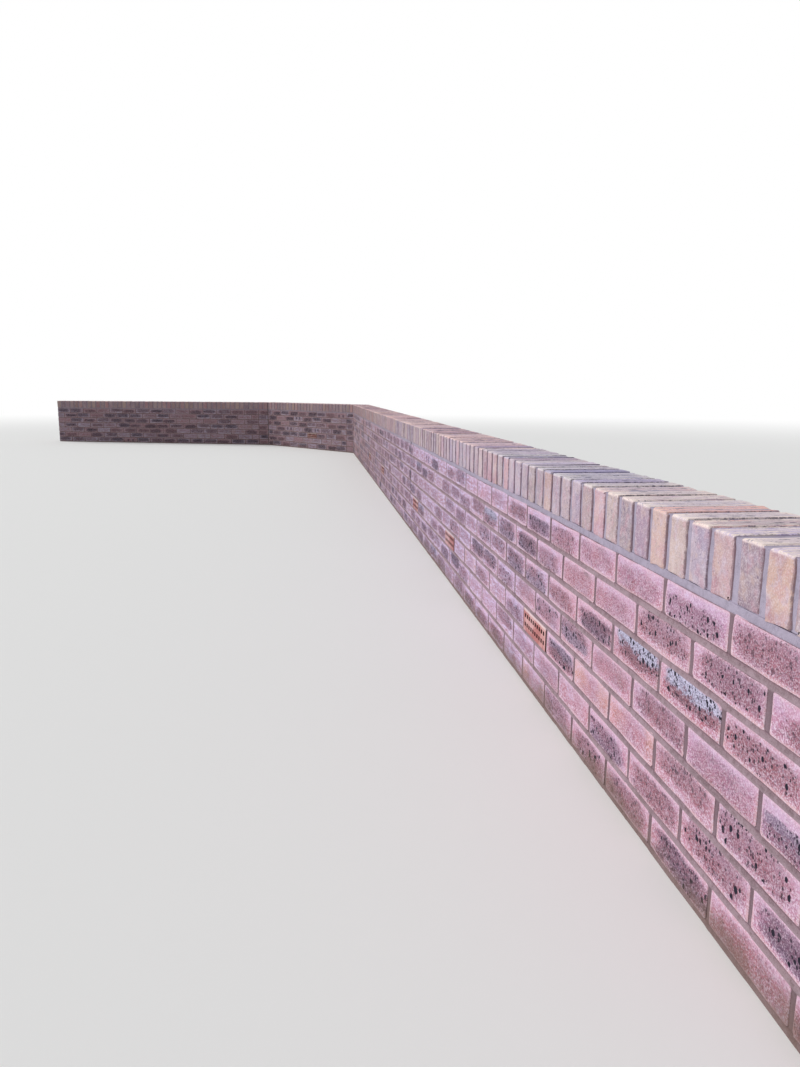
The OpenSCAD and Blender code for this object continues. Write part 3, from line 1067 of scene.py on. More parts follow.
@dataclass(frozen=True)
class CopingBrickFinish:
    """Clay of the bricks on edge: sanded ends, and tops dragged into streaks."""

    name: str = "coping brick"
    body: tuple[Colour, ...] = (
        srgb(204, 168, 162), srgb(180, 160, 182), srgb(198, 168, 176), srgb(208, 156, 166),
        srgb(174, 156, 180), srgb(206, 180, 172), srgb(190, 162, 180),
    )
    tops: tuple[Colour, ...] = (
        srgb(255, 222, 210), srgb(160, 148, 190), srgb(255, 246, 246), srgb(206, 190, 224),
        srgb(255, 200, 186), srgb(166, 156, 196), srgb(252, 226, 236),
    )
    scorch: Colour = (0.63, 0.63, 0.68, 1.0)
    rosy: Colour = (1.0, 0.86, 0.86, 1.0)
    cool: Colour = (0.80, 0.85, 0.94, 1.0)
    orange: Colour = srgb(210, 174, 162)
    pink: Colour = srgb(210, 160, 172)
    peach: Colour = srgb(214, 182, 168)
    frost: Colour = srgb(206, 194, 216)
    joint: Colour = srgb(140, 112, 122)
    lilac: Colour = srgb(164, 150, 180)
    cream: Colour = srgb(252, 234, 226)
    grain: Colour = srgb(238, 226, 234)
    mark: Colour = srgb(120, 108, 136)
    black: Colour = srgb(56, 52, 76)

    def material(self, effects: SharedEffects) -> bpy.types.Material:
        """Builds the finish.

        A brick's place is its depth, its offset along the wall and how far it is below
        the top. Streaks are noise that is drawn out along the depth, and show on the top
        alone. Ends get pale and dark grains, and their ragged edges by the joints are
        darkened, partly staining and partly painted shade, more on one side. The top's
        front arris is paler cream, partly wear and partly a painted highlight. The top is
        cooler and then pinker in two stretches of the near run.

        Args:
            effects: Shared groups.

        Returns:
            The material.
        """
        coats = Coats(self.name)
        place, half, seed, mark, more = coats.brick_values()
        own = place + seed * SEED_SHIFT
        tone, strength, fired = seed.parts()
        patch, _, blue = mark.parts()
        depth, offset, below = place.parts()
        half_depth, half_width, bare_end = half.parts()
        sand = coats.group(effects.sand, Place=own, Grains=BRICK_GRAINS)
        ragged = own.noise(120.0, 3.0, 0.65)
        top = (ragged * 0.004 + below).ease(0.007, 0.002)
        slow = own.noise(34.0, 3.0, 0.6)
        other = (own + (9.0, 4.0, 6.0)).noise(44.0, 3.0, 0.6)
        cloudy = own.noise(90.0, 3.0, 0.7)
        coats.colour = coats.mix(fired ** 2.0, coats.blend_of(tone, self.body), self.scorch, "MULTIPLY")
        coats.lay(
            (self.orange, own.noise(16.0).ease(-0.14, 0.06), more.parts()[1]),
            (self.cream, sand["Drift"], 0.25),
            (self.pink, slow.ease(0.0, 0.16, 0.4)),
            (self.peach, slow.ease(-0.02, -0.18, 0.4)),
            (self.frost, other.ease(0.02, 0.18, 0.4)),
            (self.grain, cloudy.ease(0.03, 0.13, 0.2)),
            (self.mark, cloudy.ease(-0.04, -0.15, 0.18)),
        )

        along = own * (0.12, 1.2, 1.0)
        wide = along.noise(110.0, 3.0, 0.6)
        narrow = (along + (5.0, 2.0, 8.0)).noise(210.0, 3.0, 0.65)
        distance = ragged * 1.6 + ((abs(depth) / half_depth) ** 3.0 + (abs(offset) / half_width) ** 2.0)
        cover = coats.times(distance.ease(1.0, 0.3), top, patch)
        dots = (own * (0.45, 1.0, 1.0)).cells(95.0, 0.30, 0.40, ragged)
        spots = coats.times(dots, cover * 0.8 + 0.12, top)
        cracks = (cover * 0.05 + narrow).ease(0.15, 0.20)
        coats.lay(
            (coats.blend_of(strength, self.tops), top, 0.92),
            (self.lilac, wide.ease(0.02, 0.12), top, 0.65),
            (self.cream, (tone * 0.24 + narrow).ease(0.07, 0.17), top),
            (coats.mix(blue, self.lilac, self.mark), cover, 0.5),
            (self.black, spots, 0.9),
            (self.black, cracks, top, 0.85),
        )
        pits = own.cells(150.0, 0.10, 0.35, ragged)
        # Top front arris: paler cream, partly wear and partly a painted highlight
        near_front = (depth + half_depth).ease(0.012, 0.002)
        # Ragged edges by the joints: partly staining, partly painted shade, more on one side
        broken = (ragged * 0.014 + (half_width - abs(offset))).ease(0.0034, 0.0012)
        shaded = offset.ease(0.010, -0.010) * 0.35 + 0.25
        coats.lay(
            (self.cream, near_front, below.ease(0.010, 0.002), ragged.ease(-0.15, 0.05), 0.35),
            (self.grain, sand["Pale"], 0.3),
            (self.mark, sand["Dark"], 0.15),
            (self.mark, pits, 0.5),
            (coats.mix(top, self.joint, self.black), broken, shaded, 1.0 - bare_end),
        )
        along_wall = coats.object_place().parts()[1]
        coats.lay(
            (self.rosy, along_wall.ease(-4.7, -4.0), top),
            (self.cool, along_wall.ease(-5.7, -5.3), along_wall.ease(-4.2, -4.6), top),
            blend="MULTIPLY",
        )
        # Cool tint and darkening along the wall: partly weathering, partly painted shade
        coats.weather_and_shade(effects, PALE_GRIME_AND_SHADE, top * -0.5 + 0.6, top * -0.6 + 1.0)
        hollow = coats.larger(coats.larger(coats.times(cracks, top), spots), pits)
        height = hollow * -0.5 + (coats.times(top, wide) * 1.2 + sand["Height"])
        return coats.close(top * -0.1 + 0.9, height, 0.0011)


@dataclass(frozen=True)
class MortarFinish:
    """Sandy cement mortar, smoothed by the trowel, stained near the ground and painted with shade there."""

    name: str
    colour: Colour
    pale: Colour
    dark: Colour
    dirt_and_shade: Colour = srgb(134, 100, 112)
    shadow: Colour = srgb(88, 68, 80)

    def material(self, effects: SharedEffects) -> bpy.types.Material:
        """Builds the finish from sand grains, slow drifts of tone, staining with painted shade in
        the joints, painted light on the lower part of each bed joint, and soiling with painted
        shade near the ground.

        Args:
            effects: Shared groups.

        Returns:
            The material.
        """
        coats = Coats(self.name, self.colour)
        place = coats.object_place()
        sand = coats.group(effects.sand, Place=place, Grains=480.0)
        mottle = place.noise(85.0, 4.0, 0.65)
        kind = coats.source("ShaderNodeAttribute", "Vector", {"attribute_name": "joint_kind"})
        upright, raised, _ = kind.parts()
        coats.lay(
            (self.pale, sand["Drift"], 0.7),
            (self.dark, place.noise(3.5, 3.0, 0.55).ease(-0.03, 0.2, 0.5)),
            (self.pale, mottle.ease(0.0, 0.14, 0.6)),
            (self.dark, mottle.ease(-0.02, -0.15, 0.6)),
            (self.dark, sand["Dark"], 0.35),
            (self.pale, sand["Pale"], 0.3),
            # Upright joints and the tops of bed joints: partly staining, partly painted shade
            (self.dirt_and_shade, coats.larger(upright, raised.ease(0.5, 1.0)), 0.5),
            # Painted light on the lower, flush part of each bed joint
            (self.pale, raised.ease(0.45, 0.05, 0.45)),
            (self.shadow, raised.ease(0.72, 1.0, 0.5)),
            (self.shadow, upright, 0.35),
            # Soiling with painted shade at the foot of the wall
            (SOIL_AND_SHADE, coats.group(effects.splash, Place=place, Reach=0.09)["Soil"], 0.6),
            # Painted shadow beside the joints that cross the long run
            (JOINT_SHADOW, coats.group(effects.smear, Place=place)["Smear"]),
        )
        # Cool tint and darkening along the wall: partly weathering, partly painted shade
        coats.weather_and_shade(effects, PALE_GRIME_AND_SHADE, 0.1, 0.9)
        return coats.close(0.95, sand["Height"], 0.0011)


@dataclass(frozen=True)
class SealantFinish:
    """Sealant of a movement joint, dark where it is bare and pale where dust has settled."""

    name: str = "joint sealant"
    dark: Colour = srgb(46, 40, 44)
    dusty: Colour = srgb(140, 118, 120)

    def material(self, effects: SharedEffects) -> bpy.types.Material:
        """Builds the finish: dust gathers in patches, low down and at the wall's far joints.

        Args:
            effects: Shared groups.

        Returns:
            The material.
        """
        coats = Coats(self.name, self.dark)
        place = coats.object_place()
        _, along, height = place.parts()
        sand = coats.group(effects.sand, Place=place, Grains=380.0)
        patchy = place.noise(7.0, 3.0, 0.6) * 0.5 + height
        dust = coats.larger(patchy.ease(0.26, 0.06, 0.6), along.ease(3.0, 5.0, 0.3))
        coats.lay((self.dusty, dust), (self.dusty, sand["Pale"], 0.2))
        return coats.close(dust * 0.3 + 0.6, sand["Height"], 0.0006, 0.5)


@dataclass(frozen=True)
class TerracottaFinish:
    """Pressed terracotta, a little uneven in its firing, painted dark inside its holes as their shade, and
    with a painted highlight along its upper lip.
    """

    name: str = "terracotta"
    colour: Colour = srgb(186, 114, 112)
    pale: Colour = srgb(230, 180, 178)
    worn: Colour = srgb(240, 218, 220)
    dark: Colour = srgb(134, 74, 68)
    hole_shade: Colour = srgb(56, 32, 30)

    def material(self, effects: SharedEffects) -> bpy.types.Material:
        """Builds the finish from drifts of tone, fine grain, painted shade in the holes and a
        painted highlight along the upper lip.

        The painted shade is where a surface doesn't face along the holes: there the
        sideways part of its normal is small.

        Args:
            effects: Shared groups.

        Returns:
            The material.
        """
        coats = Coats(self.name, self.colour)
        place = coats.object_place()
        sand = coats.group(effects.sand, Place=place, Grains=900.0)
        facing = abs(coats.source("ShaderNodeNewGeometry", "True Normal").parts()[0])
        lip = VENT_Z + BRICK_H
        coats.lay(
            (self.pale, place.noise(14.0, 3.0, 0.55).ease(-0.10, 0.14, 0.9)),
            (self.dark, sand["Dark"], 0.3),
            (self.pale, sand["Pale"], 0.3),
            # Painted shade inside the holes
            (self.hole_shade, facing.ease(0.74, 0.62, 0.85)),
            # Painted highlight along the upper lip
            (self.worn, place.parts()[2].ease(lip - 0.009, lip - 0.004, 0.75)),
        )
        # Cool tint and darkening along the wall: partly weathering, partly painted shade
        coats.weather_and_shade(effects, BRICK_GRIME_AND_SHADE)
        return coats.close(0.8, sand["Height"], 0.0004)


WALL_MORTAR = MortarFinish("wall mortar", srgb(146, 124, 132), srgb(172, 150, 160), srgb(114, 94, 100))
COPING_MORTAR = MortarFinish("coping mortar", srgb(156, 146, 166), srgb(184, 174, 194), srgb(118, 108, 126))
FILLER_BOARD = MortarFinish("filler board", srgb(84, 76, 72), srgb(104, 96, 92), srgb(60, 54, 52))


# Sub-assemblies


@dataclass
class Brickwork:
    """The stretchers that show on one face of a bay."""

    bay: Bay
    side: Side
    shell: BrickShell = STRETCHER
    set_back: float = 0.0006
    tilt: float = 0.0035
    out_of_place: float = 0.0007
    # Depths of a brick's rings: three round its worn arris, and one at its inner end
    rings: tuple[float, ...] = (SKIN, 0.0010, 0.0036, BRICK_W - 0.002)
    longest: float = 1.15 * BRICK_L

    def rows(self) -> np.ndarray:
        """Lays out every brick of the face.

        At a turn the brick's end follows the mitre plane. At the back the outer side of
        the turn is longer, so a brick that would pass the longest is cut in two.

        Returns:
            Rows of leg, low end, high end, low slant, high slant, height of the brick's
            middle, course and number in the course.
        """
        face = self.side.face
        rows = []
        for number, (leg, bond) in enumerate(zip(self.bay.legs, self.bay.bonds)):
            vents = self.bay.leg_vents(number)
            for course in range(1, COURSES + 1):
                middle = LEAF_H - (course - 0.5) * COURSE + JOINT / 2
                low = bond.offset
                lengths = bond.lengths(course)
                for place, length in enumerate(lengths):
                    low_slant = leg.low_slant if place == 0 else 0.0
                    high_slant = leg.high_slant if place == len(lengths) - 1 else 0.0
                    start = low + low_slant * face
                    stop = low + length + high_slant * face
                    low += length + JOINT
                    if course == VENT_COURSE and any(abs(start - vent) < JOINT for vent in vents):
                        continue
                    cut = start + SQUINT_BAT if stop - start > self.longest else stop
                    where = (middle, course, place)
                    rows.append((number, start, cut, low_slant, high_slant * (cut == stop), *where))
                    if cut < stop:
                        rows.append((number, cut + JOINT, stop, 0.0, high_slant, *where))
        return np.array(rows)

    def firings(self, rows: np.ndarray, random: np.random.Generator) -> list[Firing]:
        """Kind of each brick: one that is marked in the bay, or a draw from its mix."""
        drawn = random.choice(len(KINDS), size=len(rows), p=self.bay.mix)
        marked = self.bay.marked if self.side is Side.FRONT else {}
        return [marked.get((int(row[6]), int(row[7])), KINDS[pick]) for row, pick in zip(rows, drawn)]

    def build(self, material: bpy.types.Material) -> bpy.types.Object:
        """Builds and dresses the face's bricks as one joined mesh.

        Each brick is turned by a small angle and set back a little, as a bricklayer
        leaves it: length and height turn by the angle, and depth leans with them.

        Args:
            material: Finish of the bricks.

        Returns:
            The piece.
        """
        rows = self.rows()
        count, legs, sign = len(rows), rows[:, 0].astype(int), self.side.value
        random = np.random.default_rng(self.bay.seed * 10 + (self.side is Side.BACK))
        half = (rows[:, 2] - rows[:, 1]) / 2
        middle = (rows[:, 2] + rows[:, 1]) / 2
        depths = np.tile(self.rings, (count, 1))
        slants = rows[:, 3:5] if sign > 0 else rows[:, 4:2:-1]
        low = -half[:, None] + slants[:, :1] * depths
        high = half[:, None] + slants[:, 1:] * depths
        place, faces = self.shell.build(low, high, BRICK_H / 2, depths, random)
        turn, lean = random.normal(size=(2, count, 1)) * self.tilt
        shift = within(random, 2, 2, count, 1) * self.out_of_place
        u = place[..., 0] - turn * place[..., 1] + shift[0]
        v = place[..., 1] + turn * place[..., 0] + shift[1]
        leant = np.abs(lean) * 0.5 * (half[:, None] + np.sign(lean) * u)
        pushed = place[..., 2] + random.random((count, 1)) * self.set_back + leant
        depth = np.clip(self.side.face + sign * pushed, SKIN, WALL_T - SKIN)
        lengths, lows, highs = self.bay.leg_values(legs)
        s = np.clip(middle[:, None] + sign * u, lows * depth, lengths + highs * depth)
        points = self.bay.place(legs, s, depth, np.maximum(rows[:, 5:6] + v, 0.0))
        seeds = random.random((count, 3))
        sizes = (half, BRICK_H / 2, self.bay.bare_ends(rows))
        attributes = brick_attributes(place, sizes, seeds, self.firings(rows, random))
        name = f"{self.bay.name}_{self.side.name.lower()}_bricks"
        return make_object(name, points, faces, material, attributes)


@dataclass
class MortarBody:
    """The mortar between and behind the stretchers on one face of a bay.

    The body is a grid of cells in the length and height, from near the face to the
    middle of the wall. It comes forward in the joints and lies deep behind the bricks.
    Bed joints are struck, so they lean back from the brick below to the one above.
    Cells in a duct are left out, and a wall closes each side where a kept cell meets
    one that isn't.
    """

    bay: Bay
    side: Side
    flush: float = 0.0008
    struck: float = 0.0032
    upright: float = 0.0028
    behind: float = 0.0070
    lap: float = 0.0012
    fall: float = 0.0035
    wander: float = 0.0004
    shallowest: float = 0.0003
    end_inset: float = 0.0040
    mitre_reach: float = 0.30

    def gaps(self) -> np.ndarray:
        """Upright joints of the face, with those that run up to a mitre.

        Returns:
            Rows of leg, course, low end and high end.
        """
        rows = Brickwork(self.bay, self.side).rows()
        gaps = []
        for number, leg in enumerate(self.bay.legs):
            ends = leg.low(self.side.face), leg.high(self.side.face)
            for course in range(1, COURSES + 1):
                bricks = rows[(rows[:, 0] == number) & (rows[:, 6] == course), 1:3]
                edges = np.sort(np.concatenate([[ends[0]], bricks.ravel(), [ends[1]]])).reshape(-1, 2)
                gaps += [(number, course, low, high) for low, high in edges if high - low > self.lap]
        return np.array(gaps)

    def columns(self, gaps: np.ndarray) -> np.ndarray:
        """Columns along the bay, at both sides of each upright joint and of each duct.

        Args:
            gaps: Upright joints.

        Returns:
            Rows of leg and place on the face.
        """
        out = self.lap + np.array([0.0, self.fall])
        columns: list[tuple[int, float]] = []
        for number, leg in enumerate(self.bay.legs):
            free_low, free_high = self.bay.free_ends(number)
            low = leg.low(self.side.face) + self.end_inset * free_low
            high = leg.high(self.side.face) - self.end_inset * free_high
            joints = gaps[gaps[:, 0] == number]
            ducts = [place + side for place in self.bay.leg_vents(number) for side in (0.0, BRICK_L)]
            places = np.concatenate([(joints[:, 2:3] - out).ravel(), (joints[:, 3:4] + out).ravel(), ducts])
            inner = places[(places > low + self.lap) & (places < high - self.lap)]
            ordered = [float(low), *np.unique(inner.round(5)).tolist(), float(high)]
            columns += [(number, place) for place in ordered[min(number, 1):]]
        return np.array(columns)

    def depths(
        self, table: np.ndarray, heights: np.ndarray, gaps: np.ndarray
    ) -> tuple[np.ndarray, np.ndarray]:
        """How deep the face of the mortar lies, and what it is there.

        Args:
            table: Columns.
            heights: Heights of the grid's lines.
            gaps: Upright joints.

        Returns:
            Depths from the face, columns by heights, and vectors that are 1 in upright
            joints and go from 0 to 1 up a bed joint.
        """
        slack = 0.0001
        row = np.floor((heights + self.lap + slack) / COURSE)
        up = (heights - row * COURSE + self.lap) / (JOINT + 2 * self.lap)
        in_bed = np.broadcast_to(up < 1.0 + slack / JOINT, (len(table), len(heights)))
        on_leg = table[:, :1] == gaps[:, 0]
        reach = np.diff(gaps[:, 2:])[:, 0] / 2 + self.lap + slack
        inside = np.abs(table[:, 1:2] - gaps[:, 2:].mean(axis=1)) < reach
        same_course = gaps[:, 1:2] == COURSES - row
        in_gap = (on_leg & inside).astype(int) @ same_course.astype(int) > 0
        bed = self.flush + (self.struck - self.flush) * np.clip(up, 0.0, 1.0)
        depth = np.where(in_bed, bed, np.where(in_gap, self.upright, self.behind))
        kinds = np.stack([in_gap & ~in_bed, np.where(in_bed, up, 0.0), 0 * depth], axis=-1)
        return depth, kinds

    def kept_cells(self, table: np.ndarray, heights: np.ndarray) -> np.ndarray:
        """Which cells of the grid hold mortar.

        Args:
            table: Columns.
            heights: Heights of the grid's lines.

        Returns:
            A mask, columns by heights, that is false in the ducts.
        """
        keep = np.ones((len(table) - 1, len(heights) - 1), bool)
        cell_z = (heights[:-1] + heights[1:]) / 2
        cell_s = (table[:-1, 1] + table[1:, 1]) / 2
        in_rows = np.abs(cell_z - VENT_Z - BRICK_H / 2) < BRICK_H / 2
        for number, place in self.bay.vents:
            in_columns = (table[:-1, 0] == number) & (np.abs(cell_s - place - BRICK_L / 2) < BRICK_L / 2)
            keep[np.ix_(in_columns, in_rows)] = False
        return keep

    def place(self, table: np.ndarray, depth: np.ndarray, heights: np.ndarray) -> np.ndarray:
        """Points of one surface, with the columns near a mitre leaning to follow it.

        Args:
            table: Columns.
            depth: Depths in the wall, columns by heights.
            heights: Heights of the grid's lines.

        Returns:
            Points, columns by heights by three.
        """
        face = self.side.face
        numbers, s = table[:, 0].astype(int), table[:, 1:2]
        lengths, lows, highs = self.bay.leg_values(numbers)
        low_share = np.clip(1 - (s - lows * face) / self.mitre_reach, 0, 1)
        high_share = np.clip(1 - (lengths + highs * face - s) / self.mitre_reach, 0, 1)
        slid = s + (lows * low_share + highs * high_share) * (depth - face)
        return self.bay.place(numbers, slid, depth, np.broadcast_to(heights, depth.shape))

    def build(self, material: bpy.types.Material) -> bpy.types.Object:
        """Builds and dresses the mortar.

        Args:
            material: Finish of the mortar.

        Returns:
            The piece.
        """
        random = np.random.default_rng(self.bay.seed * 10 + 500 + (self.side is Side.BACK))
        gaps = self.gaps()
        table = self.columns(gaps)
        base = np.arange(COURSES)[:, None] * COURSE
        up = [-self.lap, JOINT + self.lap, JOINT + self.lap + self.fall, COURSE - self.lap - self.fall]
        fixed = [0.0, VENT_Z, VENT_Z + BRICK_H, LEAF_H]
        heights = np.unique(np.concatenate([np.maximum(base + up, 0.0).ravel(), fixed]).round(5))
        keep = self.kept_cells(table, heights)
        depth, kinds = self.depths(table, heights, gaps)
        depth = np.maximum(depth + within(random, 2, *depth.shape) * self.wander, self.shallowest)
        sign = self.side.value
        outer = self.place(table, self.side.face + sign * depth, heights)
        middle = self.place(table, np.full(depth.shape, WALL_T / 2), heights)
        points = np.stack([outer, middle] if sign > 0 else [middle, outer])
        front, back = np.arange(points[..., 0].size).reshape(points.shape[:3])
        quads = [
            np.stack([side[:-1, :-1], side[1:, :-1], side[1:, 1:], side[:-1, 1:]], axis=-1)[keep]
            for side in (front, back)
        ]
        upright = np.stack([front[:, :-1], front[:, 1:], back[:, 1:], back[:, :-1]], axis=-1)
        level = np.stack([front[:-1], back[:-1], back[1:], front[1:]], axis=-1)
        padded = np.pad(keep, 1).astype(int)
        change_s, change_z = np.diff(padded[:, 1:-1], axis=0), np.diff(padded[1:-1], axis=1)
        walls = [
            upright[change_s == 1][:, ::-1], upright[change_s == -1],
            level[change_z == 1][:, ::-1], level[change_z == -1],
        ]
        faces = [np.concatenate([quads[0][:, ::-1], quads[1], *walls])]
        name = f"{self.bay.name}_{self.side.name.lower()}_mortar"
        attributes = {"joint_kind": np.stack([kinds, kinds])}
        return make_object(name, points, faces, material, attributes, MORTAR_EDGE)


@dataclass
class Coping:
    """Bricks on edge over a bay, with their mortar joints and bed."""

    bay: Bay
    shell: BrickShell = ON_EDGE
    joint: float = 0.0155
    front_recess: float = 0.0034
    top_recess: float = 0.0026
    end_inset: float = 0.0050
    bed_recess: float = 0.0018
    thinnest: float = 0.022
    turn: float = 0.003
    end_shift: float = 0.001
    out_of_place: float = 0.0006
    sunk: float = 0.0018
    below_bed: float = 0.002
    bed_lap: float = 0.001
    step: float = 0.0375
    wear: float = 0.0008
    # A brick's rings: their share of its depth, and how far each is moved from there
    ring_shares: tuple[float, ...] = (0.0, 0.0, 0.0, 0.25, 0.5, 0.75, 1.0, 1.0, 1.0)
    ring_moves: tuple[float, ...] = (SKIN, 0.0011, 0.0038, 0.0, 0.0, 0.0, -0.0038, -0.0011, -SKIN)

    def edges(self, leg: Leg) -> np.ndarray:
        """Low and high ends of a leg's bricks, before the mitre planes cut them."""
        if not self.bay.coping_laps_bond:
            low = np.arange(-2, math.ceil(leg.length / COURSE) + 2) * COURSE
            return np.stack([low, low + BRICK_H], axis=1)
        cut = (HALF_BAT - JOINT) / 2
        low = np.arange(HALF_BAT + JOINT, leg.length - HALF_BAT - JOINT, COURSE)
        far = leg.length - HALF_BAT
        ends = [[0.0, cut], [cut + JOINT, HALF_BAT], [far, far + cut], [leg.length - cut, leg.length]]
        return np.concatenate([np.stack([low, low + BRICK_H], axis=1), ends])

    def rows(self) -> np.ndarray:
        """Lays out the bricks on edge.

        Bricks keep their pitch along each leg and are cut where the mitre plane of a
        turn crosses them, which leaves wedges on the outer side. The brick at a free
        end is flush with it.

        Returns:
            Rows of leg, low end, high end, first depth, last depth, low gap, high gap.
        """
        rows = []
        last_leg = len(self.bay.legs) - 1
        inset = (self.joint - JOINT) / 2
        depths = np.linspace(0.0, WALL_T, 44)
        for number, leg in enumerate(self.bay.legs):
            low_gap = self.joint / 2 if number else 0.0
            high_gap = self.joint / 2 if number < last_leg else 0.0
            edges = self.edges(leg) + low_gap
            bare = self.bay.bare_ends(np.column_stack([np.full(len(edges), number), edges]))
            for (low, high), is_bare in zip(edges + [inset, -inset], bare):
                low -= inset * is_bare * (low < COURSE)
                high += inset * is_bare * (high > COURSE)
                first = np.maximum(low, leg.low(depths) + low_gap)
                last = np.minimum(high, leg.high(depths) - high_gap)
                wide = depths[last - first > self.thinnest / 3]
                if (last - first).max() > self.thinnest:
                    rows.append((number, low, high, wide[0], wide[-1], low_gap, high_gap))
        return np.array(rows)

    def build_bricks(self, material: bpy.types.Material) -> bpy.types.Object:
        """Builds and dresses the coping's bricks as one joined mesh.

        Args:
            material: Finish of the bricks.

        Returns:
            The piece.
        """
        rows = self.rows()
        count, legs = len(rows), rows[:, 0].astype(int)
        bare = self.bay.bare_ends(rows)
        random = np.random.default_rng(self.bay.seed + 900)
        share, moves = np.array([self.ring_shares, self.ring_moves])
        depths = rows[:, 3:4] + (rows[:, 4:5] - rows[:, 3:4]) * share + moves
        lengths, lows, highs = self.bay.leg_values(legs)
        moved = random.uniform(-self.end_shift, self.end_shift, (2, count, 1)) * (1 - bare)[:, None]
        low = np.maximum(rows[:, 1:2] + moved[0], lows * depths + rows[:, 5:6])
        high = np.minimum(rows[:, 2:3] + moved[1], lengths + highs * depths - rows[:, 6:7])
        block, faces = self.shell.build(low, high, BRICK_W / 2, depths, random)
        turn = random.normal(size=(count, 1)) * self.turn
        centre = ((low + high) / 2).mean(axis=1)[:, None]
        out = random.normal(size=(count, 1)) * self.out_of_place
        depth = np.clip(block[..., 2] + out, SKIN, WALL_T - SKIN)
        s = block[..., 0] + turn * (block[..., 2] - WALL_T / 2)
        s = np.clip(s, lows * depth, lengths + highs * depth)
        z = COPING_Z + BRICK_W / 2 + block[..., 1] - random.random((count, 1)) * self.sunk
        z = np.clip(z, COPING_Z - self.below_bed, WALL_H - SKIN)
        points = self.bay.place(legs, s, depth, z)
        place = np.stack([depth - WALL_T / 2, s - centre, np.maximum(WALL_H - z, 0.0)], axis=-1)
        firings = [KINDS[pick] for pick in random.choice(len(KINDS), size=count, p=RUN_MIX)]
        half = (np.full(count, WALL_T / 2), (COURSE - self.joint) / 2, bare)
        attributes = brick_attributes(place, half, random.random((count, 3)), firings)
        return make_object(f"{self.bay.name}_coping_bricks", points, faces, material, attributes)

    def build_mortar(
        self, name: str, low: float, high: float, front: float, material: bpy.types.Material
    ) -> bpy.types.Object:
        """Builds and dresses one mortar body of the coping.

        Its outline runs up the front, over the top, down the back and along the
        underside. Noise moves the front, back and top inwards at each column.

        Args:
            name: Name of the piece.
            low, high: Heights of its underside and top.
            front: Depth of its front face.
            material: Finish of the mortar.

        Returns:
            The piece.
        """
        random = np.random.default_rng(self.bay.seed + 700 + round(low * 1000))
        columns = bay_columns(self.bay, self.step, self.end_inset)
        up = np.linspace(low, high, 4)
        over = np.linspace(front, WALL_T - front, 8)[1:-1]
        depth = np.concatenate([np.full(4, front), over, np.full(4, WALL_T - front)])
        height = np.concatenate([up, np.full(6, high), up[::-1]])
        inward = np.repeat([1.0, 0.0, -1.0], [4, 6, 4])
        noise = np.abs(within(random, 2, 2, len(columns), 14)) * self.wear
        drop = np.where(height == high, noise[1], 0.0)
        profiles = np.stack([depth + inward * noise[0], height - drop], axis=-1)
        points, faces = swept_body(self.bay, columns, profiles)
        return make_object(name, points, faces, material, smooth_angle=MORTAR_EDGE)


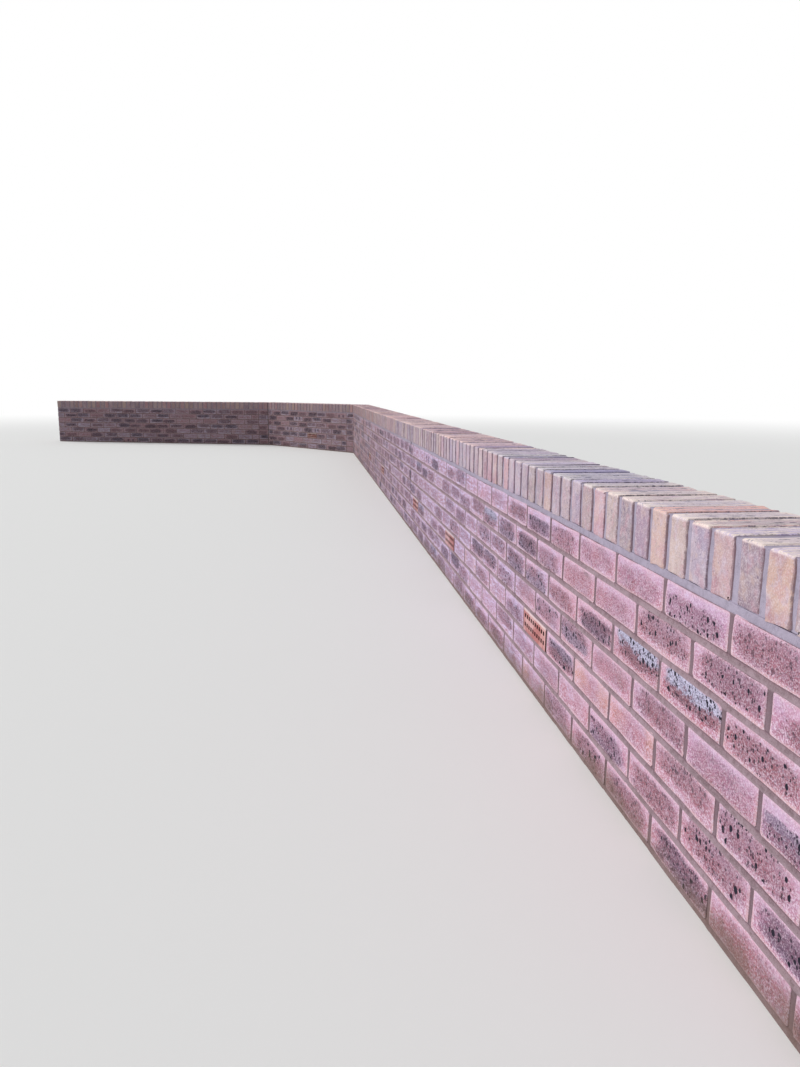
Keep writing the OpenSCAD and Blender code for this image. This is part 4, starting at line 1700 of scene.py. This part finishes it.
@dataclass
class Studio:
    """Plain floor, soft light and the camera at the photograph's viewing angle."""

    eye: tuple[float, float, float] = (1.54962, -7.21958, 0.85265)
    yaw: float = math.radians(6.681)
    pitch: float = math.radians(-10.26)
    roll: float = math.radians(0.232)
    lens: float = 26.97
    floor_reach: float = 60.0
    sky: float = 0.44
    lamp: float = 2.1
    white: Colour = (1.0, 1.0, 1.0, 1.0)

    @staticmethod
    def seen(nodes: Nodes) -> Wire:
        """1 for what the camera sees itself or in a reflection."""
        path = nodes.add("ShaderNodeLightPath")
        camera, glossy = (Wire(nodes, path.outputs[name]) for name in ("Is Camera Ray", "Is Glossy Ray"))
        return nodes.larger(camera, glossy)

    @staticmethod
    def put_out(nodes: Nodes, kind: str, share: Wire, first: Wire, second: Wire) -> None:
        """Ends a layout with two shaders, the second of which shows by its share."""
        choice = nodes.add("ShaderNodeMixShader", Fac=share)
        nodes.feed(choice.inputs[1], first)
        nodes.feed(choice.inputs[2], second)
        nodes.add(kind, Surface=Wire(nodes, choice.outputs[0]))

    def build_camera(self) -> None:
        """Sets the camera: yaw turns right from +Y, pitch up, roll lifts its right side."""
        forward = np.array([
            math.sin(self.yaw) * math.cos(self.pitch),
            math.cos(self.yaw) * math.cos(self.pitch),
            math.sin(self.pitch),
        ])
        level = np.array([math.cos(self.yaw), -math.sin(self.yaw), 0.0])
        right = level * math.cos(self.roll) + np.cross(level, forward) * math.sin(self.roll)
        data = bpy.data.cameras.new("viewpoint")
        data.lens = self.lens
        data.sensor_width = 36.0
        data.clip_end = 200.0
        camera = bpy.data.objects.new("viewpoint", data)
        matrix = np.eye(4)
        matrix[:3] = np.stack([right, np.cross(right, forward), -forward, self.eye], axis=1)
        camera.matrix_world = matrix.T.tolist()
        bpy.context.scene.collection.objects.link(camera)
        bpy.context.scene.camera = camera

    def build_floor(self) -> None:
        """Lays the floor as one large flat sheet, which fades to white far from the wall."""
        nodes = Coats("studio floor", srgb(236, 236, 235))
        place = nodes.object_place()
        away = nodes.source("ShaderNodeVectorMath", "Value", {"operation": "LENGTH"}, Vector=place)
        grey = nodes.source("ShaderNodeBsdfPrincipled", "BSDF", Base_Color=nodes.colour, Roughness=0.9)
        white = nodes.source("ShaderNodeEmission", "Emission", Color=self.white, Strength=1.0)
        self.put_out(nodes, "ShaderNodeOutputMaterial", away.ease(8.0, 22.0) * self.seen(nodes), grey, white)
        points = np.array([[-1, -1, 0], [1, -1, 0], [1, 1, 0], [-1, 1, 0]]) * self.floor_reach
        make_object("studio_floor", points, [np.array([[0, 1, 2, 3]])], nodes.material)

    def build_light(self) -> None:
        """Lights the wall with an even sky and one broad, soft lamp from the lawn's side."""
        world = bpy.data.worlds.new("studio sky")
        world.use_nodes = True
        nodes = Nodes(world.node_tree)
        kind = "ShaderNodeBackground"
        sky = nodes.source(kind, "Background", Color=(0.94, 0.97, 1.0, 1.0), Strength=self.sky)
        white = nodes.source(kind, "Background", Color=self.white, Strength=1.0)
        self.put_out(nodes, "ShaderNodeOutputWorld", self.seen(nodes), sky, white)
        bpy.context.scene.world = world
        data = bpy.data.lights.new("soft lamp", "SUN")
        data.energy = self.lamp
        data.angle = math.radians(30)
        data.color = (1.0, 0.98, 0.96)
        lamp = bpy.data.objects.new("soft lamp", data)
        lamp.rotation_euler = (math.radians(-22), math.radians(-48), 0.0)
        bpy.context.scene.collection.objects.link(lamp)

    def build(self) -> None:
        """Sets up the whole studio."""
        self.build_camera()
        self.build_floor()
        self.build_light()
        bpy.context.scene.view_settings.view_transform = "Standard"


def dress_solids(names: list[str], material: bpy.types.Material) -> None:
    """Gives kept solids their finish.

    Args:
        names: Nodes whose shape is right as it is.
        material: Their finish.
    """
    for name in names:
        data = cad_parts[name].data
        data.materials.clear()
        data.materials.append(material)
        LOG.info("%s: dressed with %s", name, material.name)


def main() -> None:
    """Builds the studio and then each sub-assembly, bay by bay."""
    logging.basicConfig(level=logging.INFO, format="%(name)s: %(message)s")
    Studio().build()
    effects = SharedEffects()
    facing = FacingBrickFinish().material(effects)
    on_edge = CopingBrickFinish().material(effects)
    mortar = WALL_MORTAR.material(effects)
    coping_mortar = COPING_MORTAR.material(effects)
    for bay in WallPlan().bays():
        name = bay.name
        for side in Side:
            replaced = [f"{name}_collar_joint"] if side is Side.FRONT else []
            finish_piece(MortarBody(bay, side).build(mortar), "mortar", *replaced)
            bricks = Brickwork(bay, side).build(facing)
            finish_piece(bricks, "facing_brick", f"{name}_{side.name.lower()}_leaf")
        coping = Coping(bay)
        finish_piece(coping.build_bricks(on_edge), "coping_brick", f"{name}_coping")
        joints_top = WALL_H - coping.top_recess
        joints = coping.build_mortar(
            f"{name}_coping_joints", COPING_Z, joints_top, coping.front_recess, coping_mortar
        )
        finish_piece(joints, "coping_mortar")
        bed = coping.build_mortar(
            f"{name}_bedding", LEAF_H - coping.bed_lap, COPING_Z, coping.bed_recess, coping_mortar
        )
        finish_piece(bed, "coping_mortar", f"{name}_coping_bed")
    nodes = list(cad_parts)
    dress_solids([name for name in nodes if name.endswith("sealant")], SealantFinish().material(effects))
    dress_solids([name for name in nodes if name.endswith("filler")], FILLER_BOARD.material(effects))
    dress_solids([name for name in nodes if "air_brick" in name], TerracottaFinish().material(effects))


if __name__ == "__main__":
    main()
